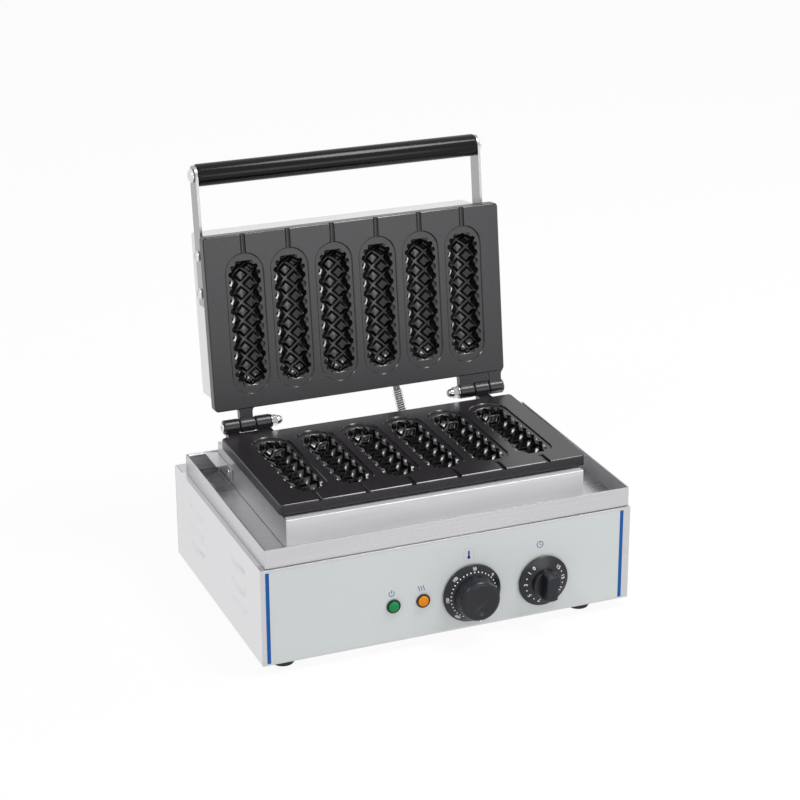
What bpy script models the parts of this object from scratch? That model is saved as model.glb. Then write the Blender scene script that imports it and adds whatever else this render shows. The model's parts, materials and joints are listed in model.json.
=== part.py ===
"""Countertop waffle iron with six moulds for corn dogs, standing open.

Metres, +X to the right, +Y to the back, +Z up. The origin is at the centre of the footprint, on the
surface that the feet stand on. Places below are first worked out in the housing's own terms: x from
the housing's centre, y back from the front panel's face, z up from the surface. The lid is described
closed, and its frame, on the hinge axis, turns it open.
"""

import math

import bmesh
import bpy
from mathutils import Vector

# Clearances and overruns shared by all pieces
clearance = 0.0003
overlap = 0.0010
overrun = 0.0030
nearly = 0.000001

# Housing
housing_width = 0.370
housing_depth = 0.261
housing_height = 0.0952
housing_sheet = 0.0012
housing_flange = 0.012
rear_ledge = 0.0210
louvre_length = 0.049
louvre_height = 0.0085
louvre_depth = 0.0032
louvre_sheet = 0.0010
louvre_slit = 0.0014
louvre_taper = 0.005
louvre_pitch = 0.0200
louvre_top_drop = 0.0192
louvre_rows = 3
louvre_inset = 0.067

# Feet
foot_height = 0.010
foot_radius = 0.011
foot_edge = 0.0025
foot_stem_radius = 0.0030
foot_barb_radius = 0.0042
foot_barb = 0.0050
foot_inset_left = 0.026
foot_inset_right = 0.043
foot_inset = 0.020

# Drip tray
deck_shift = 0.0021
tray_inset = 0.00285
tray_front = 0.0022
tray_sheet = 0.0010
tray_wall = 0.0012
tray_rise = 0.0176
tray_corner = 0.0015
tray_hem_radius = 0.0016

# Pedestal on the tray
pedestal_centre = 0.0006
pedestal_inset = 0.03265
pedestal_front = 0.0314
pedestal_tail = 0.0211
pedestal_height = 0.0261
pedestal_sheet = 0.0010
pedestal_top_flange = 0.012
pedestal_foot_flange = 0.008

# Brackets on the pedestal's sides
bracket_length = 0.0485
bracket_leaf_length = 0.0355
bracket_tail = 0.0025
bracket_reach = 0.0120
bracket_sheet = 0.0010
bracket_drop = 0.0135
bracket_screw_ahead = 0.0380
bracket_screw_drop = 0.0056
bracket_screw_radius = 0.0015
bracket_screw_head_radius = 0.0029
bracket_screw_head = 0.0016
bracket_screw_tail = 0.0040

# Mould plates
plate_overhang = 0.00445
plate_front = 0.0382
plate_tail = 0.0501
plate_corner = 0.0040
plate_chamfer = 0.0009
lower_thickness = 0.0108
upper_thickness = 0.01175
parting_gap = 0.0005
pad_height = 0.0040
pad_radius = 0.0060
pad_inset_x = 0.0115
pad_inset_y = 0.0070
block_inset_x = 0.0200
block_inset_y = 0.0140
block_depth = 0.0095
mould_count = 6
mould_edge = 0.0397
recess_land = 0.0079
recess_setback = 0.0193
recess_tail = 0.0149
recess_depth = 0.0014
mould_ledge = 0.00275
mould_end_ledge = 0.0054
mould_relief = 0.0028
groove_width = 0.0050
groove_depth = 0.0020

# Hinges
hinge_reach = 0.0164
hinge_rise = 0.00325
hinge_inset = 0.0289
hinge_shift = 0.0027
knuckle_radius = 0.0072
knuckle_width = 0.0156
knuckle_gap = 0.0006
lug_width = 0.0130
lug_thickness = 0.0086
lug_drop = 0.0008
pin_radius = 0.0030
pin_head_radius = 0.0052
pin_head = 0.0030
pin_thread = 0.0080
nut_flange_radius = 0.0068
nut_flange = 0.0012
nut_across = 0.0100
nut_height = 0.0055
nut_dome_radius = 0.0045
nut_dome = 0.0062
open_angle = math.radians(97.3)

# Lid shell
shell_side_inset = 0.0081
shell_front_inset = 0.0051
shell_back_inset = 0.0034
shell_height = 0.0560
shell_sheet = 0.0010
shell_corner = 0.0030

# Handle
arm_width = 0.0200
arm_thickness = 0.0025
arm_rise = 0.0235
arm_end = 0.1120
grip_ahead = 0.0548
grip_radius = 0.0110
grip_edge = 0.0015
grip_bore_depth = 0.0180
bolt_radius = 0.0030
bolt_head_radius = 0.0068
bolt_head = 0.0048
arm_screw_front = 0.0620
arm_screw_rear = 0.0990
arm_screw_radius = 0.0025
arm_screw_head_radius = 0.0053
arm_screw_head = 0.0036
arm_screw_slot = 0.0013
arm_screw_slot_depth = 0.0012
arm_screw_tail = 0.0060

# Heaters
element_radius = 0.00325
element_inset_x = 0.0120
element_inset_y = 0.0130
element_lane = 0.0270
lower_element_tail = 0.0140
upper_element_tail = 0.0080
element_tail_reach = 0.0065
clamp_thickness = 0.0020
board_gap = 0.0003
lid_board_thickness = 0.0265

# Controls on the front panel
thermostat_x = 0.0206
thermostat_z = 0.0462
timer_x = 0.0940
timer_z = 0.0452
shaft_radius = 0.0030
shaft_in_body = 0.0100
shaft_in_knob = 0.0120
knob_gap = 0.0012
thermostat_skirt_radius = 0.0290
thermostat_skirt_edge = 0.0016
thermostat_cone = 0.0045
thermostat_grip_radius = 0.0205
thermostat_grip_taper = 0.0008
thermostat_grip_depth = 0.0200
thermostat_grip_edge = 0.0022
timer_skirt_radius = 0.02525
timer_skirt_edge = 0.0016
timer_cone = 0.0034
timer_hub_radius = 0.0140
timer_hub_depth = 0.0060
timer_bar_width = 0.0115
timer_bar_length = 0.0290
timer_bar_depth = 0.0110
timer_bar_edge = 0.0012
thermostat_box_width = 0.034
thermostat_box_depth = 0.030
thermostat_box_height = 0.034
timer_box_width = 0.046
timer_box_depth = 0.036
timer_box_height = 0.046
capillary_radius = 0.0010
bulb_radius = 0.0030
bulb_length = 0.0900
capillary_inset = 0.0027
capillary_hole = 0.0030

# Lamps
lamp_green_x = -0.0577
lamp_amber_x = -0.0282
lamp_z = 0.0469
lamp_bezel_radius = 0.0062
lamp_bezel = 0.0022
lamp_shank_radius = 0.0046
lamp_shank = 0.0240
lamp_lens_radius = 0.0047
lamp_lens_seat = 0.0012
lamp_lens_rise = 0.0026

# Electrics at the rear
terminal_width = 0.060
terminal_depth = 0.018
terminal_height = 0.018
terminal_x = -0.030
terminal_inset = 0.030
gland_inset = 0.045
gland_z = 0.034
gland_radius = 0.0110
gland_shank_radius = 0.0080
gland_bore = 0.0042
gland_outside = 0.0120
gland_inside = 0.0090

# Conduit between the housing and the lid
conduit_base_x = 0.0560
conduit_base_inset = 0.0128
conduit_top_x = 0.0500
conduit_top_rise = 0.0325
conduit_radius = 0.0056
conduit_wire = 0.0008
conduit_pitch = 0.0046
conduit_curls = 10
conduit_curl_points = 10
ferrule_height = 0.0080
ferrule_wall = 0.0012
cable_radius = 0.0017
cable_spread = 0.00188
cable_hole = 0.0042
cable_inside_housing = 0.0200
cable_inside_lid = 0.0085
cable_points = 26
grommet_flange_radius = 0.0070
grommet_flange = 0.0016
grommet_shank_radius = 0.0054
grommet_bore = 0.0039

# How finely round pieces are faceted
round_sides = 18
small_sides = 10
knob_sides = 32
corner_steps = 3
recess_end_steps = 6

# The moulds' pattern: columns round the wall, rows along it, a peg on every other crossing
mould_columns = 5
mould_rows = 15
rows_in_recess = 15.25
mould_cap_share = 0.85

# Places worked out from the sizes above
housing_bottom = foot_height
housing_top = housing_bottom + housing_height
half_width = housing_width / 2
louvre_front_y = louvre_inset
louvre_rear_y = housing_depth - louvre_inset
foot_left_x = foot_inset_left - half_width
foot_right_x = half_width - foot_inset_right
ledge_front = housing_depth - rear_ledge
tray_back = ledge_front - clearance
tray_width = housing_width - tray_inset * 2
tray_left = deck_shift - tray_width / 2
tray_right = deck_shift + tray_width / 2
tray_under = housing_top + clearance
tray_floor = tray_under + tray_sheet
tray_rim = tray_floor + tray_rise
pedestal_width = tray_width - pedestal_inset * 2
plate_width = pedestal_width + plate_overhang * 2
plate_back = housing_depth - plate_tail
plate_depth = plate_back - plate_front
hinge_centres = plate_width - hinge_inset * 2
gland_x = half_width - gland_inset
pedestal_left = pedestal_centre - pedestal_width / 2
pedestal_right = pedestal_centre + pedestal_width / 2
pedestal_back = plate_back + pedestal_tail
pedestal_foot = tray_floor + clearance
pedestal_top = pedestal_foot + pedestal_height
plate_left = deck_shift - plate_width / 2
plate_right = deck_shift + plate_width / 2
plate_under = pedestal_top + clearance + pad_height
plate_face = plate_under + lower_thickness
block_under = plate_under - block_depth
hinge_y = plate_back + hinge_reach
hinge_z = plate_face + hinge_rise
mould_pitch = (plate_width - mould_edge * 2) / (mould_count - 1)
recess_width = mould_pitch - recess_land
recess_length = plate_depth - recess_setback - recess_tail
mould_half = recess_width / 2 - mould_ledge
mould_row = recess_length / rows_in_recess
bracket_back = pedestal_back + bracket_tail
bracket_front = bracket_back - bracket_length
bracket_leaf_front = bracket_back - bracket_leaf_length
bracket_screw_y = pedestal_back - bracket_screw_ahead
upper_face = plate_face + parting_gap
upper_back = upper_face + upper_thickness
shell_left = plate_left + shell_side_inset
shell_right = plate_right - shell_side_inset
shell_front = plate_front + shell_front_inset
shell_back = plate_back - shell_back_inset
shell_bottom = upper_back + clearance
shell_top = shell_bottom + shell_height
grip_y = plate_front - grip_ahead
grip_z = upper_back + arm_rise
bore_radius = pin_radius + clearance
shaft_bore = shaft_radius + clearance
thermostat_face = (
    knob_gap + thermostat_skirt_edge + thermostat_cone + thermostat_grip_depth
)


def opened(y, z):
    """Where a place on the closed lid lies once the lid stands open."""
    back = y - hinge_y
    up = z - hinge_z
    cosine = math.cos(open_angle)
    sine = math.sin(open_angle)
    return hinge_y + back * cosine + up * sine, hinge_z - back * sine + up * cosine


shell_corner_open_y, _ = opened(shell_front + shell_corner, shell_top - shell_corner)
rearmost = shell_corner_open_y + shell_corner
base_shift = Vector((0, -(rearmost - thermostat_face) / 2, 0))


# Building blocks

def lofted(rings, closed=False):
    """A closed solid through rings of points. Closed joins the last ring to the first."""
    mesh = bmesh.new()
    made = [[mesh.verts.new(point) for point in ring] for ring in rings]
    count = len(rings[0])
    spans = len(made) if closed else len(made) - 1
    for index in range(spans):
        near = made[index]
        far = made[(index + 1) % len(made)]
        for step in range(count):
            after = (step + 1) % count
            mesh.faces.new((near[step], near[after], far[after], far[step]))
    if not closed:
        mesh.faces.new(made[0])
        mesh.faces.new(made[-1])
    bmesh.ops.recalc_face_normals(mesh, faces=mesh.faces)
    return mesh


def along(axis, first, second, height):
    """A point with two coordinates across the axis and one along it."""
    if axis == "x":
        return height, first, second
    if axis == "y":
        return first, height, second
    return first, second, height


def prism(outline, axis, low, high):
    """An outline, given across the axis, drawn out along it."""
    rings = [[along(axis, a, b, height) for a, b in outline] for height in (low, high)]
    return lofted(rings)


def block(low, high):
    """A box between two corners."""
    outline = [(low[0], low[1]), (high[0], low[1]), (high[0], high[1]), (low[0], high[1])]
    return prism(outline, "z", low[2], high[2])


def circle(radius, sides, centre=(0, 0)):
    """Points round a circle."""
    turns = [math.tau * step / sides for step in range(sides)]
    return [
        (centre[0] + radius * math.cos(turn), centre[1] + radius * math.sin(turn))
        for turn in turns
    ]


def turned(profile, axis, centre, sides, closed=False):
    """A round solid about an axis. The profile lists radius and height along the axis."""
    rings = [
        [along(axis, a, b, height) for a, b in circle(radius, sides, centre)]
        for radius, height in profile
    ]
    return lofted(rings, closed)


def rounded(left, right, front, back, radius, steps=corner_steps):
    """A rectangle with round corners."""
    corners = (
        (right - radius, back - radius, 0),
        (left + radius, back - radius, math.pi / 2),
        (left + radius, front + radius, math.pi),
        (right - radius, front + radius, math.pi * 3 / 2),
    )
    points = []
    for x, y, start in corners:
        for step in range(steps + 1):
            turn = start + math.pi / 2 * step / steps
            points.append((x + radius * math.cos(turn), y + radius * math.sin(turn)))
    return points


def level(outline, height):
    """An outline laid flat at a height."""
    return [(x, y, height) for x, y in outline]


def together(meshes):
    """Several meshes as one, each a body of its own."""
    joined = bmesh.new()
    for mesh in meshes:
        part = bpy.data.meshes.new("part")
        mesh.to_mesh(part)
        mesh.free()
        joined.from_mesh(part)
        bpy.data.meshes.remove(part)
    return joined


# Materials

def material(name, colour, roughness, metallic):
    """A Principled material."""
    made = bpy.data.materials.new(name)
    made.use_nodes = True
    shader = made.node_tree.nodes["Principled BSDF"]
    shader.inputs["Base Color"].default_value = (*colour, 1)
    shader.inputs["Roughness"].default_value = roughness
    shader.inputs["Metallic"].default_value = metallic
    made.diffuse_color = (*colour, 1)
    return made


# Objects

frame_origins = {}


def frame(name, parent, origin, turn=0):
    """An empty on a joint's axis, which carries the pieces that move with it."""
    empty = bpy.data.objects.new(name, None)
    bpy.context.collection.objects.link(empty)
    empty.parent = parent
    carried = frame_origins[parent] if parent else Vector((0, 0, 0))
    empty.location = Vector(origin) - carried if parent else base_shift
    empty.rotation_euler = (turn, 0, 0)
    frame_origins[empty] = Vector(origin) if parent else Vector((0, 0, 0))
    return empty


def placed(name, mesh, finish, carrier, smooth=True):
    """A node: a mesh in its carrier's frame, with its material."""
    data = bpy.data.meshes.new(name)
    bmesh.ops.translate(mesh, verts=mesh.verts, vec=-frame_origins[carrier])
    mesh.to_mesh(data)
    mesh.free()
    if smooth:
        data.shade_smooth()
        data.set_sharp_from_angle(angle=sharp_angle)
    made = bpy.data.objects.new(name, data)
    bpy.context.collection.objects.link(made)
    made.parent = carrier
    if finish:
        data.materials.append(finish)
    return made


def shaped(target, mesh, operation):
    """Cuts or joins a mesh, by a Boolean with a hidden tool in the same frame."""
    name = f"{target.name}_{operation.lower()}_{len(target.modifiers)}"
    tool = placed(name, mesh, None, target.parent, smooth=False)
    tool.hide_render = True
    tool.display_type = "WIRE"
    step = target.modifiers.new(name, "BOOLEAN")
    step.operation = operation
    step.solver = "EXACT"
    step.object = tool


def cut(target, *meshes):
    """Takes meshes that don't touch each other out of the target."""
    shaped(target, together(meshes), "DIFFERENCE")


def join(target, *meshes):
    """Adds meshes that don't touch each other to the target."""
    shaped(target, together(meshes), "UNION")


def tube(name, routes, radius, finish, carrier, resolution=2, swell=None):
    """One tube for each route, a list of points, with closed ends."""
    data = bpy.data.curves.new(name, "CURVE")
    data.dimensions = "3D"
    data.bevel_depth = radius
    data.bevel_resolution = resolution
    data.use_fill_caps = True
    data.materials.append(finish)
    for route in routes:
        spline = data.splines.new("POLY")
        spline.points.add(len(route) - 1)
        for index, point in enumerate(route):
            spline.points[index].co = (*(Vector(point) - frame_origins[carrier]), 1)
            spline.points[index].radius = swell[index] if swell else 1
    made = bpy.data.objects.new(name, data)
    bpy.context.collection.objects.link(made)
    made.parent = carrier
    return made


sharp_angle = math.radians(35)
for stale in list(bpy.data.objects):
    bpy.data.objects.remove(stale)

brushed = material("brushed_steel", (0.62, 0.62, 0.64), 0.34, 1)
overlay = material("panel_overlay", (0.62, 0.65, 0.64), 0.42, 0.2)
lid_steel = material("lid_steel", (0.70, 0.70, 0.71), 0.38, 1)
cast_black = material("cast_black", (0.035, 0.034, 0.037), 0.42, 0.3)
rubber = material("rubber", (0.015, 0.015, 0.016), 0.8, 0)
plastic = material("knob_plastic", (0.022, 0.023, 0.028), 0.38, 0)
grip_black = material("grip_black", (0.012, 0.011, 0.012), 0.22, 0)
bright = material("bright_steel", (0.75, 0.75, 0.76), 0.22, 1)
element_steel = material("element_steel", (0.30, 0.29, 0.28), 0.4, 1)
mica = material("heater_board", (0.78, 0.75, 0.66), 0.9, 0)
green = material("lens_green", (0.01, 0.36, 0.14), 0.2, 0)
amber = material("lens_amber", (0.85, 0.33, 0.03), 0.2, 0)
porcelain = material("terminal_white", (0.80, 0.79, 0.75), 0.5, 0)
cable_grey = material("cable_grey", (0.55, 0.55, 0.56), 0.5, 0)

base = frame("housing_frame", None, (0, 0, 0))
lid = frame("lid_frame", base, (0, hinge_y, hinge_z), -open_angle)
thermostat = frame("thermostat_frame", base, (thermostat_x, 0, thermostat_z))
timer = frame("timer_frame", base, (timer_x, 0, timer_z))


# Housing

inner_half = half_width - housing_sheet - clearance
inner_front = housing_sheet + clearance
inner_back = housing_depth - housing_sheet - clearance
floor_top = housing_bottom + housing_sheet
flange_low = floor_top + clearance


def screw(axis, centre, under_head, tip, radius, head_radius, head, outward):
    """A pan-head screw: the shank runs from the head's seat to the tip."""
    seat = under_head
    top = seat + outward * head
    rim = seat + outward * head / 2
    profile = [
        (radius, tip),
        (radius, seat),
        (head_radius, seat),
        (head_radius, rim),
        (head_radius / 2, top),
    ]
    return turned(profile, axis, centre, small_sides)


def build_front_panel():
    """Plate with flanges turned in at the top and bottom, and holes for the controls."""
    low = (-half_width, 0, housing_bottom)
    high = (half_width, housing_sheet, housing_top)
    panel = placed("front_panel", block(low, high), overlay, base)
    sunk = housing_sheet / 2
    top_flange = block(
        (-inner_half, sunk, housing_top - housing_sheet),
        (inner_half, housing_flange, housing_top),
    )
    foot_flange = block(
        (-inner_half, sunk, flange_low),
        (inner_half, housing_flange, flange_low + housing_sheet),
    )
    join(panel, top_flange, foot_flange)
    bores = [
        (thermostat_x, thermostat_z, shaft_bore),
        (timer_x, timer_z, shaft_bore),
        (lamp_green_x, lamp_z, lamp_shank_radius + clearance),
        (lamp_amber_x, lamp_z, lamp_shank_radius + clearance),
    ]
    ends = (-overrun, housing_sheet + overrun)
    cut(
        panel,
        *[
            turned([(radius, end) for end in ends], "y", (x, z), round_sides)
            for x, z, radius in bores
        ],
    )


def louvre(side, y, top, grow):
    """The wedge that a louvre presses into the side panel: deep at the top, flush below."""
    face = side * (half_width + (overrun if grow == 0 else -housing_sheet / 2))
    skin = side * half_width
    deep = side * (half_width - louvre_depth - grow)
    half = louvre_length / 2 + grow
    shoulder = half - louvre_taper
    low = top - louvre_height - grow
    high = top + (0 if grow == 0 else -louvre_slit)
    shut = [(face, y - half), (face, y + half)]
    wall = [(skin, y + half), (deep, y + shoulder), (deep, y - shoulder), (skin, y - half)]
    flat = [(skin, y + half), (skin, y + shoulder), (skin, y - shoulder), (skin, y - half)]
    if grow:
        inner = side * (half_width - housing_sheet / 2 - overlap)
        flat = [(inner, b) for _, b in flat]
        wall = [(inner, y + half), wall[1], wall[2], (inner, y - half)]
    return lofted([level(shut + flat, low), level(shut + wall, high)])


def build_side_panel(name, side):
    """Side panel with flanges on all four edges and two columns of pressed louvres."""
    outer = side * half_width
    inner = side * (half_width - housing_sheet)
    low = (min(outer, inner), inner_front, housing_bottom)
    high = (max(outer, inner), inner_back, housing_top)
    panel = placed(name, block(low, high), brushed, base)
    sunk = side * (half_width - housing_sheet / 2)
    edge = side * (half_width - housing_flange)
    front = housing_flange + clearance
    back = ledge_front - clearance
    flange_left = min(sunk, edge)
    flange_right = max(sunk, edge)
    join(
        panel,
        block(
            (flange_left, front, housing_top - housing_sheet),
            (flange_right, back, housing_top),
        ),
        block(
            (flange_left, front, flange_low),
            (flange_right, inner_back - housing_flange, flange_low + housing_sheet),
        ),
        block(
            (flange_left, inner_back - housing_sheet, flange_low + housing_sheet + clearance),
            (flange_right, inner_back, housing_top - housing_sheet - clearance),
        ),
    )
    tops = [housing_top - louvre_top_drop - louvre_pitch * row for row in range(louvre_rows)]
    places = [(y, top) for y in (louvre_front_y, louvre_rear_y) for top in tops]
    join(panel, *[louvre(side, y, top, louvre_sheet) for y, top in places])
    cut(panel, *[louvre(side, y, top, 0) for y, top in places])


def build_rear_panel():
    """Rear plate whose top turns forward as the ledge behind the tray."""
    low = (-half_width, housing_depth - housing_sheet, housing_bottom)
    high = (half_width, housing_depth, housing_top)
    panel = placed("rear_panel", block(low, high), brushed, base)
    back = housing_depth - housing_sheet / 2
    join(
        panel,
        block(
            (-inner_half, ledge_front, housing_top - housing_sheet),
            (inner_half, back, housing_top),
        ),
        block(
            (-inner_half + housing_flange, back - housing_flange, flange_low),
            (inner_half - housing_flange, back, flange_low + housing_sheet),
        ),
    )
    gland_hole = turned(
        [
            (gland_shank_radius + clearance, housing_depth - housing_flange / 2),
            (gland_shank_radius + clearance, housing_depth + overrun),
        ],
        "y",
        (gland_x, gland_z),
        round_sides,
    )
    cable_way = turned(
        [(cable_hole, housing_top - overrun), (cable_hole, housing_top + overrun)],
        "z",
        (conduit_base_x, conduit_base_y),
        round_sides,
    )
    cut(panel, gland_hole, cable_way)


def foot_places():
    """Centres of the four feet."""
    ys = (foot_inset, housing_depth - foot_inset)
    names = ("front_left", "front_right", "rear_left", "rear_right")
    places = [(x, y) for y in ys for x in (foot_left_x, foot_right_x)]
    return list(zip(names, places))


def build_bottom_plate():
    """Bottom plate inside the walls, with a hole over each foot."""
    low = (-inner_half, inner_front, housing_bottom)
    high = (inner_half, inner_back, floor_top)
    plate = placed("bottom_plate", block(low, high), brushed, base)
    ends = (housing_bottom - overrun, floor_top + overrun)
    cut(
        plate,
        *[
            turned(
                [(foot_stem_radius + clearance, end) for end in ends], "z", place, small_sides
            )
            for _, place in foot_places()
        ],
    )


def build_feet():
    """Push-in rubber feet: a round pad whose stem is barbed above the bottom plate."""
    top = foot_height - clearance
    barb = floor_top + clearance
    profile = [
        (foot_radius - foot_edge, 0),
        (foot_radius, foot_edge),
        (foot_radius, top),
        (foot_stem_radius, top),
        (foot_stem_radius, barb),
        (foot_barb_radius, barb),
        (foot_stem_radius / 2, barb + foot_barb),
    ]
    for name, place in foot_places():
        placed(f"foot_{name}", turned(profile, "z", place, round_sides), rubber, base)


# Tray and pedestal

def build_drip_tray():
    """Open pan on the housing, with a rolled hem inside its rear edge."""
    def ring(inset, height):
        radius = max(tray_corner - inset, tray_corner / 4)
        outline = rounded(
            tray_left + inset, tray_right - inset, tray_front + inset, tray_back - inset, radius
        )
        return level(outline, height)

    pan = lofted(
        [
            ring(0, tray_under),
            ring(0, tray_rim),
            ring(tray_wall, tray_rim),
            ring(tray_wall, tray_floor),
        ]
    )
    tray = placed("drip_tray", pan, brushed, base)
    hem_y = tray_back - tray_wall - tray_hem_radius / 2
    hem_z = tray_rim - tray_hem_radius
    hem_ends = (tray_left + tray_corner + tray_wall, tray_right - tray_corner - tray_wall)
    hem = turned([(tray_hem_radius, end) for end in hem_ends], "x", (hem_y, hem_z), small_sides)
    join(tray, hem)
    ends = (tray_under - overrun, tray_floor + overrun)
    hole = turned([(capillary_hole, end) for end in ends], "z", capillary_place, small_sides)
    cut(tray, hole)


def build_pedestal():
    """Four sheets that carry the lower plate, each with its top flange turned in."""
    side_front = pedestal_front + pedestal_sheet + clearance
    side_back = pedestal_back - pedestal_sheet - clearance
    flange_front = pedestal_front + pedestal_top_flange + clearance
    flange_back = pedestal_back - pedestal_top_flange - clearance
    sunk = pedestal_sheet / 2
    under = pedestal_top - pedestal_sheet
    foot_top = pedestal_foot + pedestal_sheet
    inside_left = pedestal_left + pedestal_sheet + clearance
    inside_right = pedestal_right - pedestal_sheet - clearance
    ends = (
        ("pedestal_front", pedestal_front, 1),
        ("pedestal_rear", pedestal_back, -1),
    )
    for name, face, inward in ends:
        wall = sorted((face, face + inward * pedestal_sheet))
        top = sorted((face + inward * sunk, face + inward * pedestal_top_flange))
        foot = sorted((face + inward * sunk, face + inward * pedestal_foot_flange))
        sheet = placed(
            name,
            block(
                (pedestal_left, wall[0], pedestal_foot),
                (pedestal_right, wall[1], pedestal_top),
            ),
            brushed,
            base,
        )
        join(
            sheet,
            block((inside_left, top[0], under), (inside_right, top[1], pedestal_top)),
            block((inside_left, foot[0], pedestal_foot), (inside_right, foot[1], foot_top)),
        )
    sides = (
        ("pedestal_left", pedestal_left, 1),
        ("pedestal_right", pedestal_right, -1),
    )
    for name, face, inward in sides:
        wall = sorted((face, face + inward * pedestal_sheet))
        top = sorted((face + inward * sunk, face + inward * pedestal_top_flange))
        foot = sorted((face + inward * sunk, face + inward * pedestal_foot_flange))
        sheet = placed(
            name,
            block((wall[0], side_front, pedestal_foot), (wall[1], side_back, pedestal_top)),
            brushed,
            base,
        )
        foot_front = pedestal_front + pedestal_foot_flange + clearance
        foot_back = pedestal_back - pedestal_foot_flange - clearance
        join(
            sheet,
            block((top[0], flange_front, under), (top[1], flange_back, pedestal_top)),
            block((foot[0], foot_front, pedestal_foot), (foot[1], foot_back, foot_top)),
        )
        cut(sheet, bracket_screw_hole(face, -inward))


def bracket_screw_place():
    """Centre, y and z, of the screw of one bracket."""
    return bracket_screw_y, tray_rim - bracket_screw_drop


def bracket_screw_hole(face, outward):
    """The cutter for a bracket's screw through the sheets at a side of the pedestal."""
    ends = sorted((face - outward * overrun, face + outward * overrun))
    radius = bracket_screw_radius + clearance
    return turned([(radius, end) for end in ends], "x", bracket_screw_place(), small_sides)


def build_brackets():
    """Angle brackets on the pedestal's sides: one leaf on the wall, one reaching out over the tray."""
    leaf_top = tray_rim
    for name, face, outward in (("left", pedestal_left, -1), ("right", pedestal_right, 1)):
        near = face + outward * clearance
        far = near + outward * bracket_sheet
        wall = sorted((near, far))
        bracket = placed(
            f"rear_bracket_{name}",
            block(
                (wall[0], bracket_front, leaf_top - bracket_drop),
                (wall[1], bracket_back, leaf_top),
            ),
            brushed,
            base,
        )
        leaf = sorted((near + outward * bracket_sheet / 2, near + outward * bracket_reach))
        join(
            bracket,
            block(
                (leaf[0], bracket_leaf_front, leaf_top - bracket_sheet),
                (leaf[1], bracket_back, leaf_top),
            ),
        )
        cut(bracket, bracket_screw_hole(face, outward))
        seat = far + outward * clearance
        tip = face - outward * bracket_screw_tail
        sizes = (bracket_screw_radius, bracket_screw_head_radius, bracket_screw_head)
        fastener = screw("x", bracket_screw_place(), seat, tip, *sizes, outward)
        placed(f"bracket_screw_{name}", fastener, bright, base)


# Mould plates

def mould_centres():
    """The x of each mould."""
    first = deck_shift - mould_pitch * (mould_count - 1) / 2
    return [first + mould_pitch * index for index in range(mould_count)]


def recess_outline(x):
    """The outline of a recess, with round ends."""
    radius = recess_width / 2
    front = plate_front + recess_setback + radius
    back = front + recess_length - recess_width
    points = []
    for y, start in ((back, 0), (front, math.pi)):
        for step in range(recess_end_steps + 1):
            turn = start + math.pi * step / recess_end_steps
            points.append((x + radius * math.cos(turn), y + radius * math.sin(turn)))
    return points


def mould_sheet():
    """A mould's wall laid flat: columns across, rows along, and how far the pegs rise."""
    mesh = bmesh.new()
    made = {}

    def vertex(*place):
        if place not in made:
            made[place] = mesh.verts.new(place)
        return made[place]

    for column in range(-(mould_columns // 2) - 1, mould_columns // 2 + 2):
        for row in range(-(mould_rows // 2) - 1, mould_rows // 2 + 2):
            if (column + row) % 2 == 0:
                continue
            low, high = (vertex(column, row + end / 2, mould_relief) for end in (-1, 1))
            for side in (-1, 1):
                peg = vertex(column + side / 2, row, mould_relief)
                foot = vertex(column + side, row, 0)
                mesh.faces.new((peg, low, high))
                for end, corner in ((-1, low), (1, high)):
                    valley = vertex(column, row + end, 0)
                    mesh.faces.new((peg, corner, valley))
                    mesh.faces.new((peg, valley, foot))
    for way in ((1, 0), (-1, 0), (0, 1), (0, -1)):
        place = (way[0] * mould_columns / 2, way[1] * mould_rows / 2, 0)
        geometry = [*mesh.verts, *mesh.edges, *mesh.faces]
        bmesh.ops.bisect_plane(
            mesh, geom=geometry, dist=nearly, plane_co=place, plane_no=(*way, 0), clear_outer=True
        )
    return mesh


def mould_point(column, row, rise):
    """A place on a mould's wall: across the recess, along it and below its floor."""
    turn = math.pi * column / mould_columns
    run = recess_length / 2 + row * mould_row
    near = mould_end_ledge + mould_half
    centre = min(max(run, near), recess_length - near)
    past = (run - centre) / mould_half * mould_cap_share
    radius = mould_half - rise
    return (
        radius * math.sin(turn) * math.cos(past),
        centre + radius * math.sin(past),
        radius * math.cos(turn) * math.cos(past),
    )


def mould_cutter(x, face, into):
    """A long half-round mould with pegs on its wall. Into is -1 for down and 1 for up."""
    mesh = mould_sheet()
    sides = [
        sorted(
            (v for v in mesh.verts if abs(v.co.x - side * mould_columns / 2) < nearly),
            key=lambda vertex: side * vertex.co.y,
        )
        for side in (1, -1)
    ]
    ends = [
        sorted(
            (v for v in mesh.verts if abs(v.co.y - end * mould_rows / 2) < nearly),
            key=lambda vertex: vertex.co.x,
        )
        for end in (1, -1)
    ]
    for vertex in mesh.verts:
        across, run, depth = mould_point(*vertex.co)
        start = plate_front + recess_setback
        vertex.co = (x + across, start + run, face + into * (recess_depth + depth))
    rim = []
    for side, end in zip(sides, ends):
        middle = mesh.verts.new((end[0].co + end[-1].co) / 2)
        for near, far in zip(end, end[1:]):
            mesh.faces.new((near, far, middle))
        rim += [*side, middle]
    top = [mesh.verts.new((v.co.x, v.co.y, face - into * overrun)) for v in rim]
    for index, vertex in enumerate(rim):
        mesh.faces.new((rim[index - 1], vertex, top[index], top[index - 1]))
    mesh.faces.new(top)
    bmesh.ops.recalc_face_normals(mesh, faces=mesh.faces)
    return mesh


def groove_cutter(x, face, into):
    """The half-round groove for the stick, from the recess to the plate's front edge."""
    half = groove_width / 2
    steps = corner_steps + 1
    points = [(x - half, face - into * overrun), (x + half, face - into * overrun)]
    for step in range(steps + 1):
        turn = math.pi * step / steps
        depth = groove_depth * math.sin(turn)
        points.append((x + half * math.cos(turn), face + into * depth))
    front = plate_front - overrun
    back = plate_front + recess_setback + recess_depth
    return prism(points, "y", front, back)


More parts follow.
